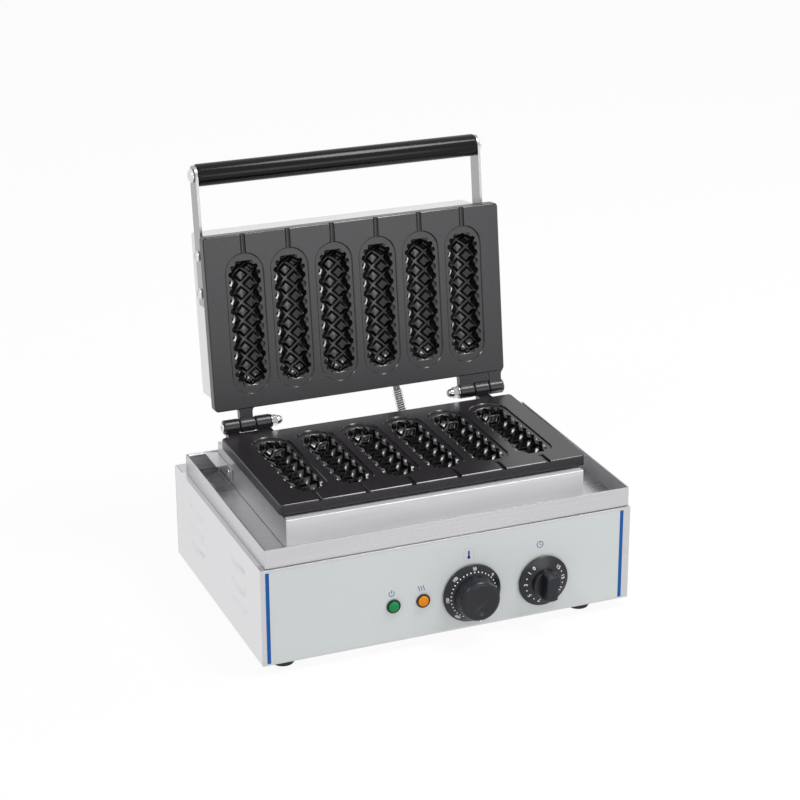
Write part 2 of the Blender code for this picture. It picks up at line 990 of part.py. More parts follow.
def cut_moulds(plate, face, into):
    """Recesses, moulds and stick grooves of one plate."""
    ends = (face - into * overrun, face + into * recess_depth)
    recesses = [
        prism(recess_outline(x), "z", *ends)
        for x in mould_centres()
    ]
    cut(plate, *recesses)
    cut(plate, *[mould_cutter(x, face, into) for x in mould_centres()])
    cut(plate, *[groove_cutter(x, face, into) for x in mould_centres()])


def slab(face, into, thickness):
    """The plate's outline with round corners, its face edge chamfered."""
    back = face + into * thickness
    rim = face + into * plate_chamfer

    def ring(inset, height):
        outline = rounded(
            plate_left + inset,
            plate_right - inset,
            plate_front + inset,
            plate_back - inset,
            plate_corner - inset,
        )
        return level(outline, height)

    return lofted([ring(0, back), ring(0, rim), ring(plate_chamfer, face)])


def block_on(under, into):
    """The thicker middle of the casting, behind the moulds."""
    heights = sorted((under - into * overlap, under + into * block_depth))
    return block(
        (plate_left + block_inset_x, plate_front + block_inset_y, heights[0]),
        (plate_right - block_inset_x, plate_back - block_inset_y, heights[1]),
    )


def hinge_knuckles(side):
    """The x ranges of a hinge's three knuckles, from the outside in."""
    centre = deck_shift + hinge_shift + side * hinge_centres / 2
    ranges = []
    for place in (1, 0, -1):
        middle = centre + side * place * (knuckle_width + knuckle_gap)
        ranges.append((middle - knuckle_width / 2, middle + knuckle_width / 2))
    return ranges


def own_knuckles(upper):
    """The knuckles that belong to one plate: two at one hinge, one at the other."""
    outer_pair = 1 if upper else -1
    owned = []
    for side in (-1, 1):
        outer, middle, inner = hinge_knuckles(side)
        owned += [outer, inner] if side == outer_pair else [middle]
    return owned


def add_hinge(plate, upper, face, into):
    """Lugs and knuckles at the back of a plate, bored for the pin."""
    lugs = []
    barrels = []
    bores = []
    for low, high in own_knuckles(upper):
        middle = (low + high) / 2
        heights = sorted((face + into * lug_drop, face + into * (lug_drop + lug_thickness)))
        lugs.append(
            block(
                (middle - lug_width / 2, plate_back - overrun, heights[0]),
                (middle + lug_width / 2, hinge_y, heights[1]),
            )
        )
        centre = (hinge_y, hinge_z)
        barrels.append(
            turned([(knuckle_radius, low), (knuckle_radius, high)], "x", centre, round_sides)
        )
        ends = (low - overrun, high + overrun)
        bores.append(turned([(bore_radius, end) for end in ends], "x", centre, small_sides))
    join(plate, *lugs)
    join(plate, *barrels)
    for bore in bores:
        cut(plate, bore)


pad_places = [
    (x, y)
    for x in (plate_left + pad_inset_x, plate_right - pad_inset_x)
    for y in (plate_front + block_inset_y + pad_inset_y, plate_back - block_inset_y - pad_inset_y)
]


def build_lower_plate():
    """Lower casting on four pads, which rest on the pedestal's side flanges."""
    plate = placed("lower_plate", slab(plate_face, -1, lower_thickness), cast_black, base)
    join(plate, block_on(plate_under, -1))
    pad_ends = (pedestal_top + clearance, plate_under + overlap)
    join(
        plate,
        *[
            turned([(pad_radius, end) for end in pad_ends], "z", place, small_sides)
            for place in pad_places
        ],
    )
    cut_moulds(plate, plate_face, -1)
    add_hinge(plate, False, plate_face, -1)


def build_upper_plate():
    """Upper casting, turned over."""
    plate = placed("upper_plate", slab(upper_face, 1, upper_thickness), cast_black, lid)
    join(plate, block_on(upper_back, 1))
    cut_moulds(plate, upper_face, 1)
    add_hinge(plate, True, upper_face, 1)


def hexagon(across, low, high, centre):
    """A nut's body along X."""
    radius = across / math.sqrt(3)
    return turned([(radius, low), (radius, high)], "x", centre, 6)


def build_hinge_pins():
    """A headed pin through each hinge, with a flanged dome nut at its inner end."""
    centre = (hinge_y, hinge_z)
    for name, side in (("left", -1), ("right", 1)):
        outer, _, inner = hinge_knuckles(side)
        outside = outer[0] if side < 0 else outer[1]
        inside = inner[1] if side < 0 else inner[0]
        seat = outside + side * clearance
        nut = inside - side * clearance
        tip = nut - side * pin_thread
        pin = screw("x", centre, seat, tip, pin_radius, pin_head_radius, pin_head, side)
        placed(f"hinge_pin_{name}", pin, bright, base)
        shoulder = nut - side * (nut_flange + nut_height)
        top = shoulder - side * nut_dome
        body = hexagon(nut_across, nut - side * nut_flange / 2, shoulder, centre)
        dome_nut = placed(f"dome_nut_{name}", body, bright, base)
        rim = [(nut_flange_radius, nut), (nut_flange_radius, nut - side * nut_flange)]
        join(dome_nut, turned(rim, "x", centre, round_sides))
        dome = [
            (nut_dome_radius, shoulder + side * overlap),
            (nut_dome_radius, shoulder - side * nut_dome / 4),
            (nut_dome_radius * 3 / 4, shoulder - side * nut_dome * 3 / 4),
            (nut_dome_radius / 3, top),
        ]
        join(dome_nut, turned(dome, "x", centre, round_sides))
        blind = [(bore_radius, nut + side * overrun), (bore_radius, tip - side * clearance)]
        cut(dome_nut, turned(blind, "x", centre, small_sides))


# Lid shell and handle

def arm_screw_places():
    """Centres, y and z, of the screws of one handle arm."""
    return [(arm_screw_front, grip_z), (arm_screw_rear, grip_z)]


def build_lid_shell():
    """Sheet box over the upper plate, with round folded edges."""
    def ring(inset, height, corner):
        outline = rounded(
            shell_left + inset,
            shell_right - inset,
            shell_front + inset,
            shell_back - inset,
            corner,
        )
        return level(outline, height)

    inner_corner = shell_corner - shell_sheet
    rings = [
        ring(shell_sheet, shell_top - shell_sheet, inner_corner),
        ring(shell_sheet, shell_bottom, inner_corner),
        ring(0, shell_bottom, shell_corner),
    ]
    for step in range(corner_steps):
        turn = math.pi / 2 * step / corner_steps
        inset = shell_corner * (1 - math.cos(turn))
        height = shell_top - shell_corner * (1 - math.sin(turn))
        rings.append(ring(inset, height, shell_corner - inset))
    last_corner = shell_corner * (1 - math.cos(math.pi / 2 / corner_steps)) / 2
    rings.append(ring(shell_corner, shell_top, last_corner))
    shell = placed("lid_shell", lofted(rings), lid_steel, lid)
    way = turned(
        [
            (grommet_shank_radius + clearance, shell_back - shell_corner),
            (grommet_shank_radius + clearance, shell_back + overrun),
        ],
        "y",
        (conduit_top_x, conduit_top_z),
        round_sides,
    )
    holes = [
        turned(
            [
                (arm_screw_radius + clearance, face - overrun),
                (arm_screw_radius + clearance, face + overrun),
            ],
            "x",
            place,
            small_sides,
        )
        for face in (shell_left, shell_right)
        for place in arm_screw_places()
    ]
    cut(shell, way, *holes)


def build_handle():
    """Two flat arms on the lid's sides, a round grip between them, and their fasteners."""
    half = arm_width / 2
    outline = [(arm_end, grip_z - half), (arm_end, grip_z + half)]
    for step in range(small_sides + 1):
        turn = math.pi / 2 + math.pi * step / small_sides
        outline.append((grip_y + half * math.cos(turn), grip_z + half * math.sin(turn)))
    for name, face, outward in (("left", shell_left, -1), ("right", shell_right, 1)):
        near = face + outward * clearance
        far = near + outward * arm_thickness
        thickness = sorted((near, far))
        arm = placed(f"handle_arm_{name}", prism(outline, "x", *thickness), bright, lid)
        ends = (thickness[0] - overrun, thickness[1] + overrun)
        places = [(place, arm_screw_radius) for place in arm_screw_places()]
        places.append(((grip_y, grip_z), bolt_radius))
        cut(
            arm,
            *[
                turned([(radius + clearance, end) for end in ends], "x", place, small_sides)
                for place, radius in places
            ],
        )
        seat = far + outward * clearance
        tip = near - outward * arm_screw_tail
        for row, place in zip(("front", "rear"), arm_screw_places()):
            build_arm_screw(f"arm_screw_{name}_{row}", place, seat, tip, outward)
        bolt_tip = near - outward * (grip_bore_depth - clearance)
        placed(f"handle_bolt_{name}", dome_bolt(seat, bolt_tip, outward), bright, lid)
    build_grip()


def build_arm_screw(name, place, seat, tip, outward):
    """A slotted pan-head screw through an arm and the shell's side."""
    sizes = (arm_screw_radius, arm_screw_head_radius, arm_screw_head)
    head = placed(name, screw("x", place, seat, tip, *sizes, outward), bright, lid)
    top = seat + outward * arm_screw_head
    depths = sorted((top - outward * arm_screw_slot_depth, top + outward * overrun))
    y, z = place
    reach = arm_screw_head_radius * 2
    cut(
        head,
        block(
            (depths[0], y - reach, z - arm_screw_slot / 2),
            (depths[1], y + reach, z + arm_screw_slot / 2),
        ),
    )


def dome_bolt(seat, tip, outward):
    """A bolt with a domed head, along X on the grip's axis."""
    profile = [(bolt_radius, tip), (bolt_radius, seat)]
    for step in range(corner_steps + 1):
        turn = math.pi / 2 * step / (corner_steps + 1)
        profile.append(
            (bolt_head_radius * math.cos(turn), seat + outward * bolt_head * math.sin(turn))
        )
    profile.append((bolt_head_radius / 6, seat + outward * bolt_head))
    return turned(profile, "x", (grip_y, grip_z), round_sides)


def build_grip():
    """The black round grip, bored at each end for its bolt."""
    left = shell_left
    right = shell_right
    profile = [
        (grip_radius - grip_edge, left),
        (grip_radius, left + grip_edge),
        (grip_radius, right - grip_edge),
        (grip_radius - grip_edge, right),
    ]
    centre = (grip_y, grip_z)
    grip = placed("handle_grip", turned(profile, "x", centre, round_sides), grip_black, lid)
    bore = bolt_radius + clearance
    cut(
        grip,
        turned([(bore, left - overrun), (bore, left + grip_bore_depth)], "x", centre, small_sides),
        turned([(bore, right - grip_bore_depth), (bore, right + overrun)], "x", centre, small_sides),
    )


# Heaters

heater_left = plate_left + block_inset_x
heater_right = plate_right - block_inset_x
heater_front = plate_front + block_inset_y
heater_back = plate_back - block_inset_y
capillary_place = (heater_left - capillary_inset, (heater_front + heater_back) / 2)


def element_route(height, tail_end):
    """Two hairpins side by side, joined at the left, whose tails leave at the right."""
    left = heater_left + element_inset_x
    right = heater_right - element_inset_x
    tail_x = heater_right + element_tail_reach
    middle = (heater_front + heater_back) / 2
    inner = element_lane / 2
    outer = (heater_back - heater_front) / 2 - element_inset_y
    bend = (outer - inner) / 2
    corner = math.copysign(element_radius, tail_end - height)
    points = [
        (tail_x, middle - outer, tail_end),
        (tail_x, middle - outer, height + corner),
        (tail_x - element_radius, middle - outer, height),
    ]
    points += bend_points(left + bend, middle - (outer + inner) / 2, bend, -1, height)
    points += bend_points(right - bend, middle, inner, 1, height)
    points += bend_points(left + bend, middle + (outer + inner) / 2, bend, -1, height)
    points += [
        (tail_x - element_radius, middle + outer, height),
        (tail_x, middle + outer, height + corner),
        (tail_x, middle + outer, tail_end),
    ]
    return points


def bend_points(x, y, radius, way, height):
    """A half turn of the element at its left (way -1) or right (way 1) end."""
    steps = small_sides // 2
    points = []
    for step in range(steps + 1):
        turn = math.pi * step / steps
        points.append((x + way * radius * math.sin(turn), y - radius * math.cos(turn), height))
    return points


def build_heaters():
    """Element, clamp plate and insulation board, below the lower block and over the upper one."""
    sets = (
        ("lower", block_under, -1, base, lower_element_tail),
        ("upper", upper_back + block_depth, 1, lid, upper_element_tail),
    )
    for name, against, away, carrier, tail_length in sets:
        centre = against + away * (clearance + element_radius)
        tail = centre + away * tail_length
        route = element_route(centre, tail)
        tube(f"{name}_heating_element", [route], element_radius, element_steel, carrier, 1)
        near = centre + away * (element_radius + clearance)
        far = near + away * clamp_thickness
        heights = sorted((near, far))
        plate = block(
            (heater_left, heater_front, heights[0]), (heater_right, heater_back, heights[1])
        )
        placed(f"{name}_clamp_plate", plate, element_steel, carrier)
        start = far + away * board_gap
        end = board_bottom if carrier is base else start + away * lid_board_thickness
        heights = sorted((start, end))
        board = block(
            (heater_left, heater_front, heights[0]), (heater_right, heater_back, heights[1])
        )
        placed(f"{name}_insulation_board", board, mica, carrier)


board_bottom = tray_floor + clearance


# Controls

def build_knob_shaft(name, x, z, carrier):
    """A shaft from inside the control's body to inside its knob."""
    ends = (-knob_gap - shaft_in_knob, inner_front + shaft_in_body)
    shaft = turned([(shaft_radius, end) for end in ends], "y", (x, z), small_sides)
    placed(name, shaft, bright, carrier)


def build_control_body(name, x, z, width, depth, height):
    """The box behind the panel that a knob turns."""
    body = placed(
        name,
        block(
            (x - width / 2, inner_front, z - height / 2),
            (x + width / 2, inner_front + depth, z + height / 2),
        ),
        porcelain,
        base,
    )
    ends = (inner_front - overrun, inner_front + shaft_in_body + clearance)
    cut(body, turned([(shaft_bore, end) for end in ends], "y", (x, z), small_sides))


def bore_knob(knob, x, z):
    """The blind bore that takes the shaft."""
    ends = (0, -knob_gap - shaft_in_knob - clearance)
    cut(knob, turned([(shaft_bore, end) for end in ends], "y", (x, z), small_sides))


def build_thermostat_knob():
    """Round grip on a cone-faced skirt."""
    back = -knob_gap
    skirt = back - thermostat_skirt_edge
    foot = skirt - thermostat_cone
    face = foot - thermostat_grip_depth
    profile = [
        (thermostat_skirt_radius, back),
        (thermostat_skirt_radius, skirt),
        (thermostat_grip_radius, foot),
        (thermostat_grip_radius - thermostat_grip_taper, face + thermostat_grip_edge),
        (thermostat_grip_radius - thermostat_grip_taper - thermostat_grip_edge, face),
    ]
    centre = (thermostat_x, thermostat_z)
    knob = placed(
        "thermostat_knob", turned(profile, "y", centre, knob_sides), plastic, thermostat
    )
    bore_knob(knob, thermostat_x, thermostat_z)
    build_knob_shaft("thermostat_shaft", thermostat_x, thermostat_z, thermostat)
    build_control_body(
        "thermostat_body",
        thermostat_x,
        thermostat_z,
        thermostat_box_width,
        thermostat_box_depth,
        thermostat_box_height,
    )


def build_timer_knob():
    """Flat bar grip on a hub and a cone-faced skirt."""
    back = -knob_gap
    skirt = back - timer_skirt_edge
    foot = skirt - timer_cone
    hub = foot - timer_hub_depth
    face = hub - timer_bar_depth
    profile = [
        (timer_skirt_radius, back),
        (timer_skirt_radius, skirt),
        (timer_hub_radius, foot),
        (timer_hub_radius, hub),
    ]
    centre = (timer_x, timer_z)
    knob = placed("timer_knob", turned(profile, "y", centre, knob_sides), plastic, timer)
    half = timer_bar_length / 2
    side = timer_bar_width / 2
    outline = rounded(
        timer_x - side, timer_x + side, timer_z - half, timer_z + half, timer_bar_edge * 2
    )
    join(knob, prism(outline, "y", face, hub + overlap))
    bore_knob(knob, timer_x, timer_z)
    build_knob_shaft("timer_shaft", timer_x, timer_z, timer)
    build_control_body(
        "timer_body", timer_x, timer_z, timer_box_width, timer_box_depth, timer_box_height
    )


def build_lamps():
    """Lamp holders through the panel, each with a domed lens."""
    for name, x, finish in (("green", lamp_green_x, green), ("amber", lamp_amber_x, amber)):
        centre = (x, lamp_z)
        front = -lamp_bezel
        seat = front + lamp_lens_seat
        holder = [
            (lamp_shank_radius, lamp_shank),
            (lamp_shank_radius, -clearance),
            (lamp_bezel_radius, -clearance),
            (lamp_bezel_radius, front + lamp_bezel / 4),
            (lamp_bezel_radius - lamp_bezel / 4, front),
            (lamp_lens_radius + clearance, front),
            (lamp_lens_radius + clearance, seat),
        ]
        body = turned(holder, "y", centre, round_sides)
        placed(f"{name}_lamp_holder", body, plastic, base)
        lens_back = seat - clearance
        top = front - lamp_lens_rise
        lens = [
            (lamp_lens_radius, lens_back),
            (lamp_lens_radius, front),
            (lamp_lens_radius * 3 / 4, front - lamp_lens_rise * 3 / 4),
            (lamp_lens_radius / 3, top),
        ]
        placed(f"{name}_lamp_lens", turned(lens, "y", centre, round_sides), finish, base)


def build_capillary():
    """The thermostat's capillary, up through the tray to its bulb among the element's runs."""
    start = inner_front + thermostat_box_depth + clearance + capillary_radius
    x, y = capillary_place
    height = block_under - clearance - element_radius
    rise = (housing_top - thermostat_z) / 3
    bulb_end = x + element_lane
    first = Vector((thermostat_x, start, thermostat_z))
    second = Vector((thermostat_x, start + rise, thermostat_z))
    third = Vector((x, y, thermostat_z + rise))
    fourth = Vector((x, y, tray_under - rise / 2))
    route = []
    steps = small_sides
    for step in range(steps + 1):
        share = step / steps
        rest = 1 - share
        route.append(
            first * rest**3
            + second * 3 * rest**2 * share
            + third * 3 * rest * share**2
            + fourth * share**3
        )
    bend = bulb_radius
    route += [
        Vector((x, y, (tray_floor + height - bend) / 2)),
        Vector((x, y, height - bend)),
        Vector((x + bend / 3, y, height - bend / 3)),
        Vector((x + bend, y, height)),
        Vector((bulb_end - bulb_radius, y, height)),
    ]
    swell = [1] * len(route)
    route += [
        Vector((bulb_end, y, height)),
        Vector((bulb_end + bulb_length, y, height)),
        Vector((bulb_end + bulb_length + bulb_radius, y, height)),
    ]
    swell += [bulb_radius / capillary_radius, bulb_radius / capillary_radius, 1]
    tube("thermostat_bulb", [route], capillary_radius, bright, base, 1, swell)


def build_electrics():
    """Terminal block on the bottom plate, and the inlet gland in the rear panel."""
    back = housing_depth - terminal_inset
    low = (terminal_x - terminal_width / 2, back - terminal_depth, floor_top + clearance)
    high = (terminal_x + terminal_width / 2, back, floor_top + clearance + terminal_height)
    placed("terminal_block", block(low, high), porcelain, base)
    outside = housing_depth + clearance
    profile = [
        (gland_bore, housing_depth - gland_inside),
        (gland_shank_radius, housing_depth - gland_inside),
        (gland_shank_radius, outside),
        (gland_radius, outside),
        (gland_radius, outside + gland_outside / 2),
        (gland_radius - gland_bore / 2, outside + gland_outside),
        (gland_bore, outside + gland_outside),
    ]
    gland = turned(profile, "y", (gland_x, gland_z), round_sides, True)
    placed("cable_gland", gland, plastic, base)


# Conduit

conduit_base_y = housing_depth - conduit_base_inset
conduit_top_z = hinge_z + conduit_top_rise


def conduit_line(share):
    """The conduit's centre line, from the ledge to the lid's rear wall as it stands open."""
    top_y, top_z = opened(shell_back, conduit_top_z)
    foot = Vector((conduit_base_x, conduit_base_y, housing_top))
    head = Vector((conduit_top_x, top_y, top_z))
    reach = (head.z - foot.z) / 3
    leaves = Vector((0, math.cos(open_angle), -math.sin(open_angle)))
    above = foot + Vector((0, 0, reach))
    below = head + leaves * reach
    rest = 1 - share
    return (
        foot * rest**3
        + above * 3 * rest**2 * share
        + below * 3 * rest * share**2
        + head * share**3
    )


def conduit_length_table(steps):
    """Length along the centre line at evenly spaced shares."""
    lengths = [0]
    for step in range(steps):
        gap = (conduit_line((step + 1) / steps) - conduit_line(step / steps)).length
        lengths.append(lengths[-1] + gap)
    return lengths


line_steps = 60
line_lengths = conduit_length_table(line_steps)


def conduit_at(length):
    """Point and direction at a length along the centre line, run on straight past its ends."""
    total = line_lengths[-1]
    inside = min(max(length, 0), total)
    index = 0
    while index < line_steps - 1 and line_lengths[index + 1] < inside:
        index += 1
    span = line_lengths[index + 1] - line_lengths[index]
    near = conduit_line(index / line_steps)
    far = conduit_line((index + 1) / line_steps)
    direction = (far - near).normalized()
    point = near + (far - near) * ((inside - line_lengths[index]) / span)
    return point + direction * (length - inside), direction


def beside(length, right, back):
    """A point beside the centre line, square to it."""
    point, direction = conduit_at(length)
    across = Vector((1, 0, 0))
    rearward = direction.cross(across).normalized()
    across = rearward.cross(direction).normalized()
    return point + across * right + rearward * back


def spring_route():
    """The conduit's wire: curls about the centre line, with both ends run on straight."""
    turn_radius = conduit_radius - conduit_wire
    start = clearance + conduit_wire
    total = conduit_curls * conduit_curl_points
    route = []
    for step in range(total + 1):
        turn = math.tau * step / conduit_curl_points
        length = start + conduit_pitch * step / conduit_curl_points
        route.append(
            beside(length, turn_radius * math.cos(turn), turn_radius * math.sin(turn))
        )
    first = (route[0] - route[1]).normalized()
    first.z = 0
    last = (route[-1] - route[-2]).normalized()
    tail = conduit_wire * 2
    return [route[0] + first.normalized() * tail] + route + [route[-1] + last * tail]


def least_gap(route, radius, apart):
    """The least distance between turns of a wire, measured on its points, surface to surface."""
    nearest = None
    for index, point in enumerate(route):
        for other in route[index + apart:]:
            gap = (point - other).length
            nearest = gap if nearest is None else min(nearest, gap)
    return nearest - radius * 2


def build_conduit():
    """Coil-spring conduit in a ferrule on the ledge, the cables in it, and the lid's grommet."""
    route = spring_route()
    gap = least_gap(route, conduit_wire, conduit_curl_points // 2)
    print(f"least gap between the conduit's turns: {gap * 1000:.2f} mm")
    tube("conduit_spring", [route], conduit_wire, bright, base, 1)
    bore = conduit_radius + clearance * 2
    low = housing_top + clearance
    high = low + ferrule_height
    profile = [
        (bore, low),
        (bore + ferrule_wall, low),
        (bore + ferrule_wall, high),
        (bore, high),
    ]
    place = (conduit_base_x, conduit_base_y)
    placed("conduit_ferrule", turned(profile, "z", place, round_sides, True), bright, base)
    total = cable_inside_housing + line_lengths[-1] + cable_inside_lid
    for name, side in (("left", -1), ("right", 1)):
        strand = [
            beside(total * step / cable_points - cable_inside_housing, side * cable_spread, 0)
            for step in range(cable_points + 1)
        ]
        tube(f"lid_cable_{name}", [strand], cable_radius, cable_grey, base, 2)
    wall = shell_back
    profile = [
        (grommet_bore, wall - shell_sheet - grommet_flange),
        (grommet_shank_radius, wall - shell_sheet - grommet_flange),
        (grommet_shank_radius, wall + clearance),
        (grommet_flange_radius, wall + clearance),
        (grommet_flange_radius, wall + clearance + grommet_flange),
        (grommet_bore, wall + clearance + grommet_flange),
    ]
    grommet = turned(profile, "y", (conduit_top_x, conduit_top_z), round_sides, True)
    placed("lid_grommet", grommet, rubber, lid)


build_front_panel()
build_side_panel("left_side_panel", -1)
build_side_panel("right_side_panel", 1)
build_rear_panel()
build_bottom_plate()
build_feet()
build_drip_tray()
build_pedestal()
build_brackets()
build_lower_plate()
build_upper_plate()
build_hinge_pins()
build_lid_shell()
build_handle()
build_heaters()
build_thermostat_knob()
build_timer_knob()
build_lamps()
build_capillary()
build_electrics()
build_conduit()
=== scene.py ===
"""The looks of a countertop corn dog waffle iron, standing open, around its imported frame.

Metres, +X to the right, +Y to the back, +Z up, in the frame of the CAD. Pieces of the lid are
described closed, face down over the lower plate, and turned open by opened().
"""

import json
import math

import bmesh
import bpy
from mathutils import Matrix, Vector

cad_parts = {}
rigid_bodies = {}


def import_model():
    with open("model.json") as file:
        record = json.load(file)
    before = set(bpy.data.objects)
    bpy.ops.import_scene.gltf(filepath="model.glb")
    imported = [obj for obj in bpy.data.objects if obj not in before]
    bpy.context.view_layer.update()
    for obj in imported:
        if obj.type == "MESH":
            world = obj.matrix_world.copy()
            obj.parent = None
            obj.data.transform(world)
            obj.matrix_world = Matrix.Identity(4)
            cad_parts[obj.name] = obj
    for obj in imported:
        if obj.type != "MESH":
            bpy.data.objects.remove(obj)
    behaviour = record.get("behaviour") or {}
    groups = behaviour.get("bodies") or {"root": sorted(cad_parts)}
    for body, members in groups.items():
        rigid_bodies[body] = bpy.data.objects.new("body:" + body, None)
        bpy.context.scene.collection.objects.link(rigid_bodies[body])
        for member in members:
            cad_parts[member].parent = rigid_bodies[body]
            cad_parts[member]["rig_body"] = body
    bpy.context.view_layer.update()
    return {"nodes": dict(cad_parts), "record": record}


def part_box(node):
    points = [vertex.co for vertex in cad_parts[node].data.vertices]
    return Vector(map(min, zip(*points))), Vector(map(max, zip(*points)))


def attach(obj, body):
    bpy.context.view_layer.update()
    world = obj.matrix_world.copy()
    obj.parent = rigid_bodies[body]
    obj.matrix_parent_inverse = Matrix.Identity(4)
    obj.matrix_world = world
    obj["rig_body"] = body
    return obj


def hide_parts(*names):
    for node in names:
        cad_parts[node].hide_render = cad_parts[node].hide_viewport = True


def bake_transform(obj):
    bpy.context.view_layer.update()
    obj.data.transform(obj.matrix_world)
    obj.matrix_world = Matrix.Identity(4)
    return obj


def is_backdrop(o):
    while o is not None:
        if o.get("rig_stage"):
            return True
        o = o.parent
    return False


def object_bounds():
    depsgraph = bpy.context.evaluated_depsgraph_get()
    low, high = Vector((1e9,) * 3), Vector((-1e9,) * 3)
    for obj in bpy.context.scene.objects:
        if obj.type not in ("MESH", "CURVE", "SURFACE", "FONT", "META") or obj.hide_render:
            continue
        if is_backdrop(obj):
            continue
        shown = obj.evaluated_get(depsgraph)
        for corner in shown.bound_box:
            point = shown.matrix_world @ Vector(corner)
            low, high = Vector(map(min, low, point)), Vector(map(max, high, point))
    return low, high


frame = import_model()
nodes = frame["nodes"]

# Places shared with the CAD
shift_y = -0.14389686
half_width = 0.185
front_face = shift_y
housing_back = 0.261 + shift_y
housing_top = 0.1052
deck_shift = 0.0021
plate_left = -0.15185
plate_right = 0.15605
plate_front = 0.0382 + shift_y
plate_back = 0.2109 + shift_y
plate_corner = 0.0040
plate_chamfer = 0.0008
plate_under = 0.1372
plate_face = 0.1480
lower_thickness = 0.0108
upper_thickness = 0.01175
upper_face = 0.1485
upper_back = upper_face + upper_thickness
pedestal_bend = 0.125
pedestal_rise = 0.0027
block_inset_x = 0.020
block_inset_y = 0.014
block_depth = 0.0095
pad_radius = 0.0060
pad_inset_x = 0.0115
pad_inset_y = 0.0070
clearance = 0.0003
hinge_y = 0.2273 + shift_y
hinge_z = 0.15125
hinge_left = -0.12025
hinge_right = 0.12985
knuckle_pitch = 0.0162
knuckle_half = 0.0078
knuckle_radius = 0.0072
open_angle = math.radians(97.3)
shell_left = plate_left + 0.0081
shell_right = plate_right - 0.0081
grip_y = plate_front - 0.0548
grip_z = upper_back + 0.0235
grip_radius = 0.0110

# The moulds
mould_pitch = 0.0457
mould_count = 6
recess_width = 0.0378
recess_length = 0.1385
recess_setback = 0.0193
recess_depth = 0.0014
mould_half = recess_width / 2 - 0.00275
mould_end_ledge = 0.0054
mould_relief = 0.0028
mould_columns = 5
mould_rows = 15
mould_row = recess_length / 15.25
mould_cap_share = 0.85
mould_chamfer = 0.00006
groove_width = 0.0050
groove_depth = 0.0020
hole_drop = 0.0040
nearly = 0.000001
weld = 0.00001


# Meshes

def lofted(rings, closed=False):
    """A skin through rings of points, with its ends closed unless it joins up with itself."""
    mesh = bmesh.new()
    made = [[mesh.verts.new(point) for point in ring] for ring in rings]
    count = len(made[0])
    following = made[1:] + made[:1] if closed else made[1:]
    for near, far in zip(made, following):
        for step in range(count):
            after = (step + 1) % count
            mesh.faces.new((near[step], near[after], far[after], far[step]))
    if not closed:
        mesh.faces.new(made[0])
        mesh.faces.new(made[-1])
    bmesh.ops.recalc_face_normals(mesh, faces=mesh.faces)
    return mesh


def along(axis, first, second, height):
    """A point with two coordinates across the axis and one along it."""
    if axis == "x":
        return height, first, second
    if axis == "y":
        return first, height, second
    return first, second, height


def arc(radius, height, start, end, steps=6):
    """Points round an ellipse with its middle at nought, between two turns."""
    turns = [start + (end - start) * step / steps for step in range(steps + 1)]
    return [(radius * math.cos(turn), height * math.sin(turn)) for turn in turns]


def moved(points, x, y):
    """Flat points, shifted."""
    return [(x + a, y + b) for a, b in points]


def circle(radius, sides, centre=(0, 0)):
    """Points round a circle."""
    return moved(arc(radius, radius, 0, math.tau, sides)[:-1], *centre)


def raised(profile, base, way=1):
    """A profile whose heights start from a base, along the axis or against it."""
    return [(radius, base + way * height) for radius, height in profile]


def turned(profile, axis, centre, sides, closed=False):
    """A round skin about an axis. The profile lists radius and height along the axis."""
    rings = [
        [along(axis, a, b, height) for a, b in circle(radius, sides, centre)]
        for radius, height in profile
    ]
    return lofted(rings, closed)


def prism(outline, axis, low, high):
    """An outline, given across the axis, drawn out along it."""
    return lofted([[along(axis, a, b, height) for a, b in outline] for height in (low, high)])


def block(low, high):
    """A box between two corners."""
    outline = [(low[0], low[1]), (high[0], low[1]), (high[0], high[1]), (low[0], high[1])]
    return prism(outline, "z", low[2], high[2])


def rounded(left, right, front, back, radius, steps=6):
    """A rectangle with round corners."""
    corners = (
        (right - radius, back - radius, 0),
        (left + radius, back - radius, math.pi / 2),
        (left + radius, front + radius, math.pi),
        (right - radius, front + radius, math.pi * 3 / 2),
    )
    quarter = math.pi / 2
    return [
        point
        for x, y, start in corners
        for point in moved(arc(radius, radius, start, start + quarter, steps), x, y)
    ]


def level(outline, height):
    """An outline laid flat at a height."""
    return [(x, y, height) for x, y in outline]


def together(meshes):
    """Several meshes as one."""
    joined = bmesh.new()
    for mesh in meshes:
        part = bpy.data.meshes.new("part")
        mesh.to_mesh(part)
        mesh.free()
        joined.from_mesh(part)
        bpy.data.meshes.remove(part)
    return joined


def shown(name, data):
    """An object with some data, in the scene."""
    made = bpy.data.objects.new(name, data)
    bpy.context.scene.collection.objects.link(made)
    return made


def linked(name, mesh):
    """An object of a bmesh, in the scene."""
    data = bpy.data.meshes.new(name)
    mesh.to_mesh(data)
    mesh.free()
    return shown(name, data)


def evaluated(made):
    """The mesh of an object with its modifiers, or its curve, worked out."""
    graph = bpy.context.evaluated_depsgraph_get()
    return bpy.data.meshes.new_from_object(made.evaluated_get(graph))


def taken(made):
    """An object's mesh, with the object removed."""
    mesh = bmesh.new()
    mesh.from_mesh(made.data)
    bpy.data.objects.remove(made)
    return mesh


def smoothed(made, angle):
    """Smooth shading, with edges over an angle left sharp."""
    made.data.shade_smooth()
    made.data.set_sharp_from_angle(angle=math.radians(angle))


def modified(made, kind, **settings):
    """Adds a modifier, with its settings by name."""
    step = made.modifiers.new(kind, kind)
    for name, value in settings.items():
        setattr(step, name, value)


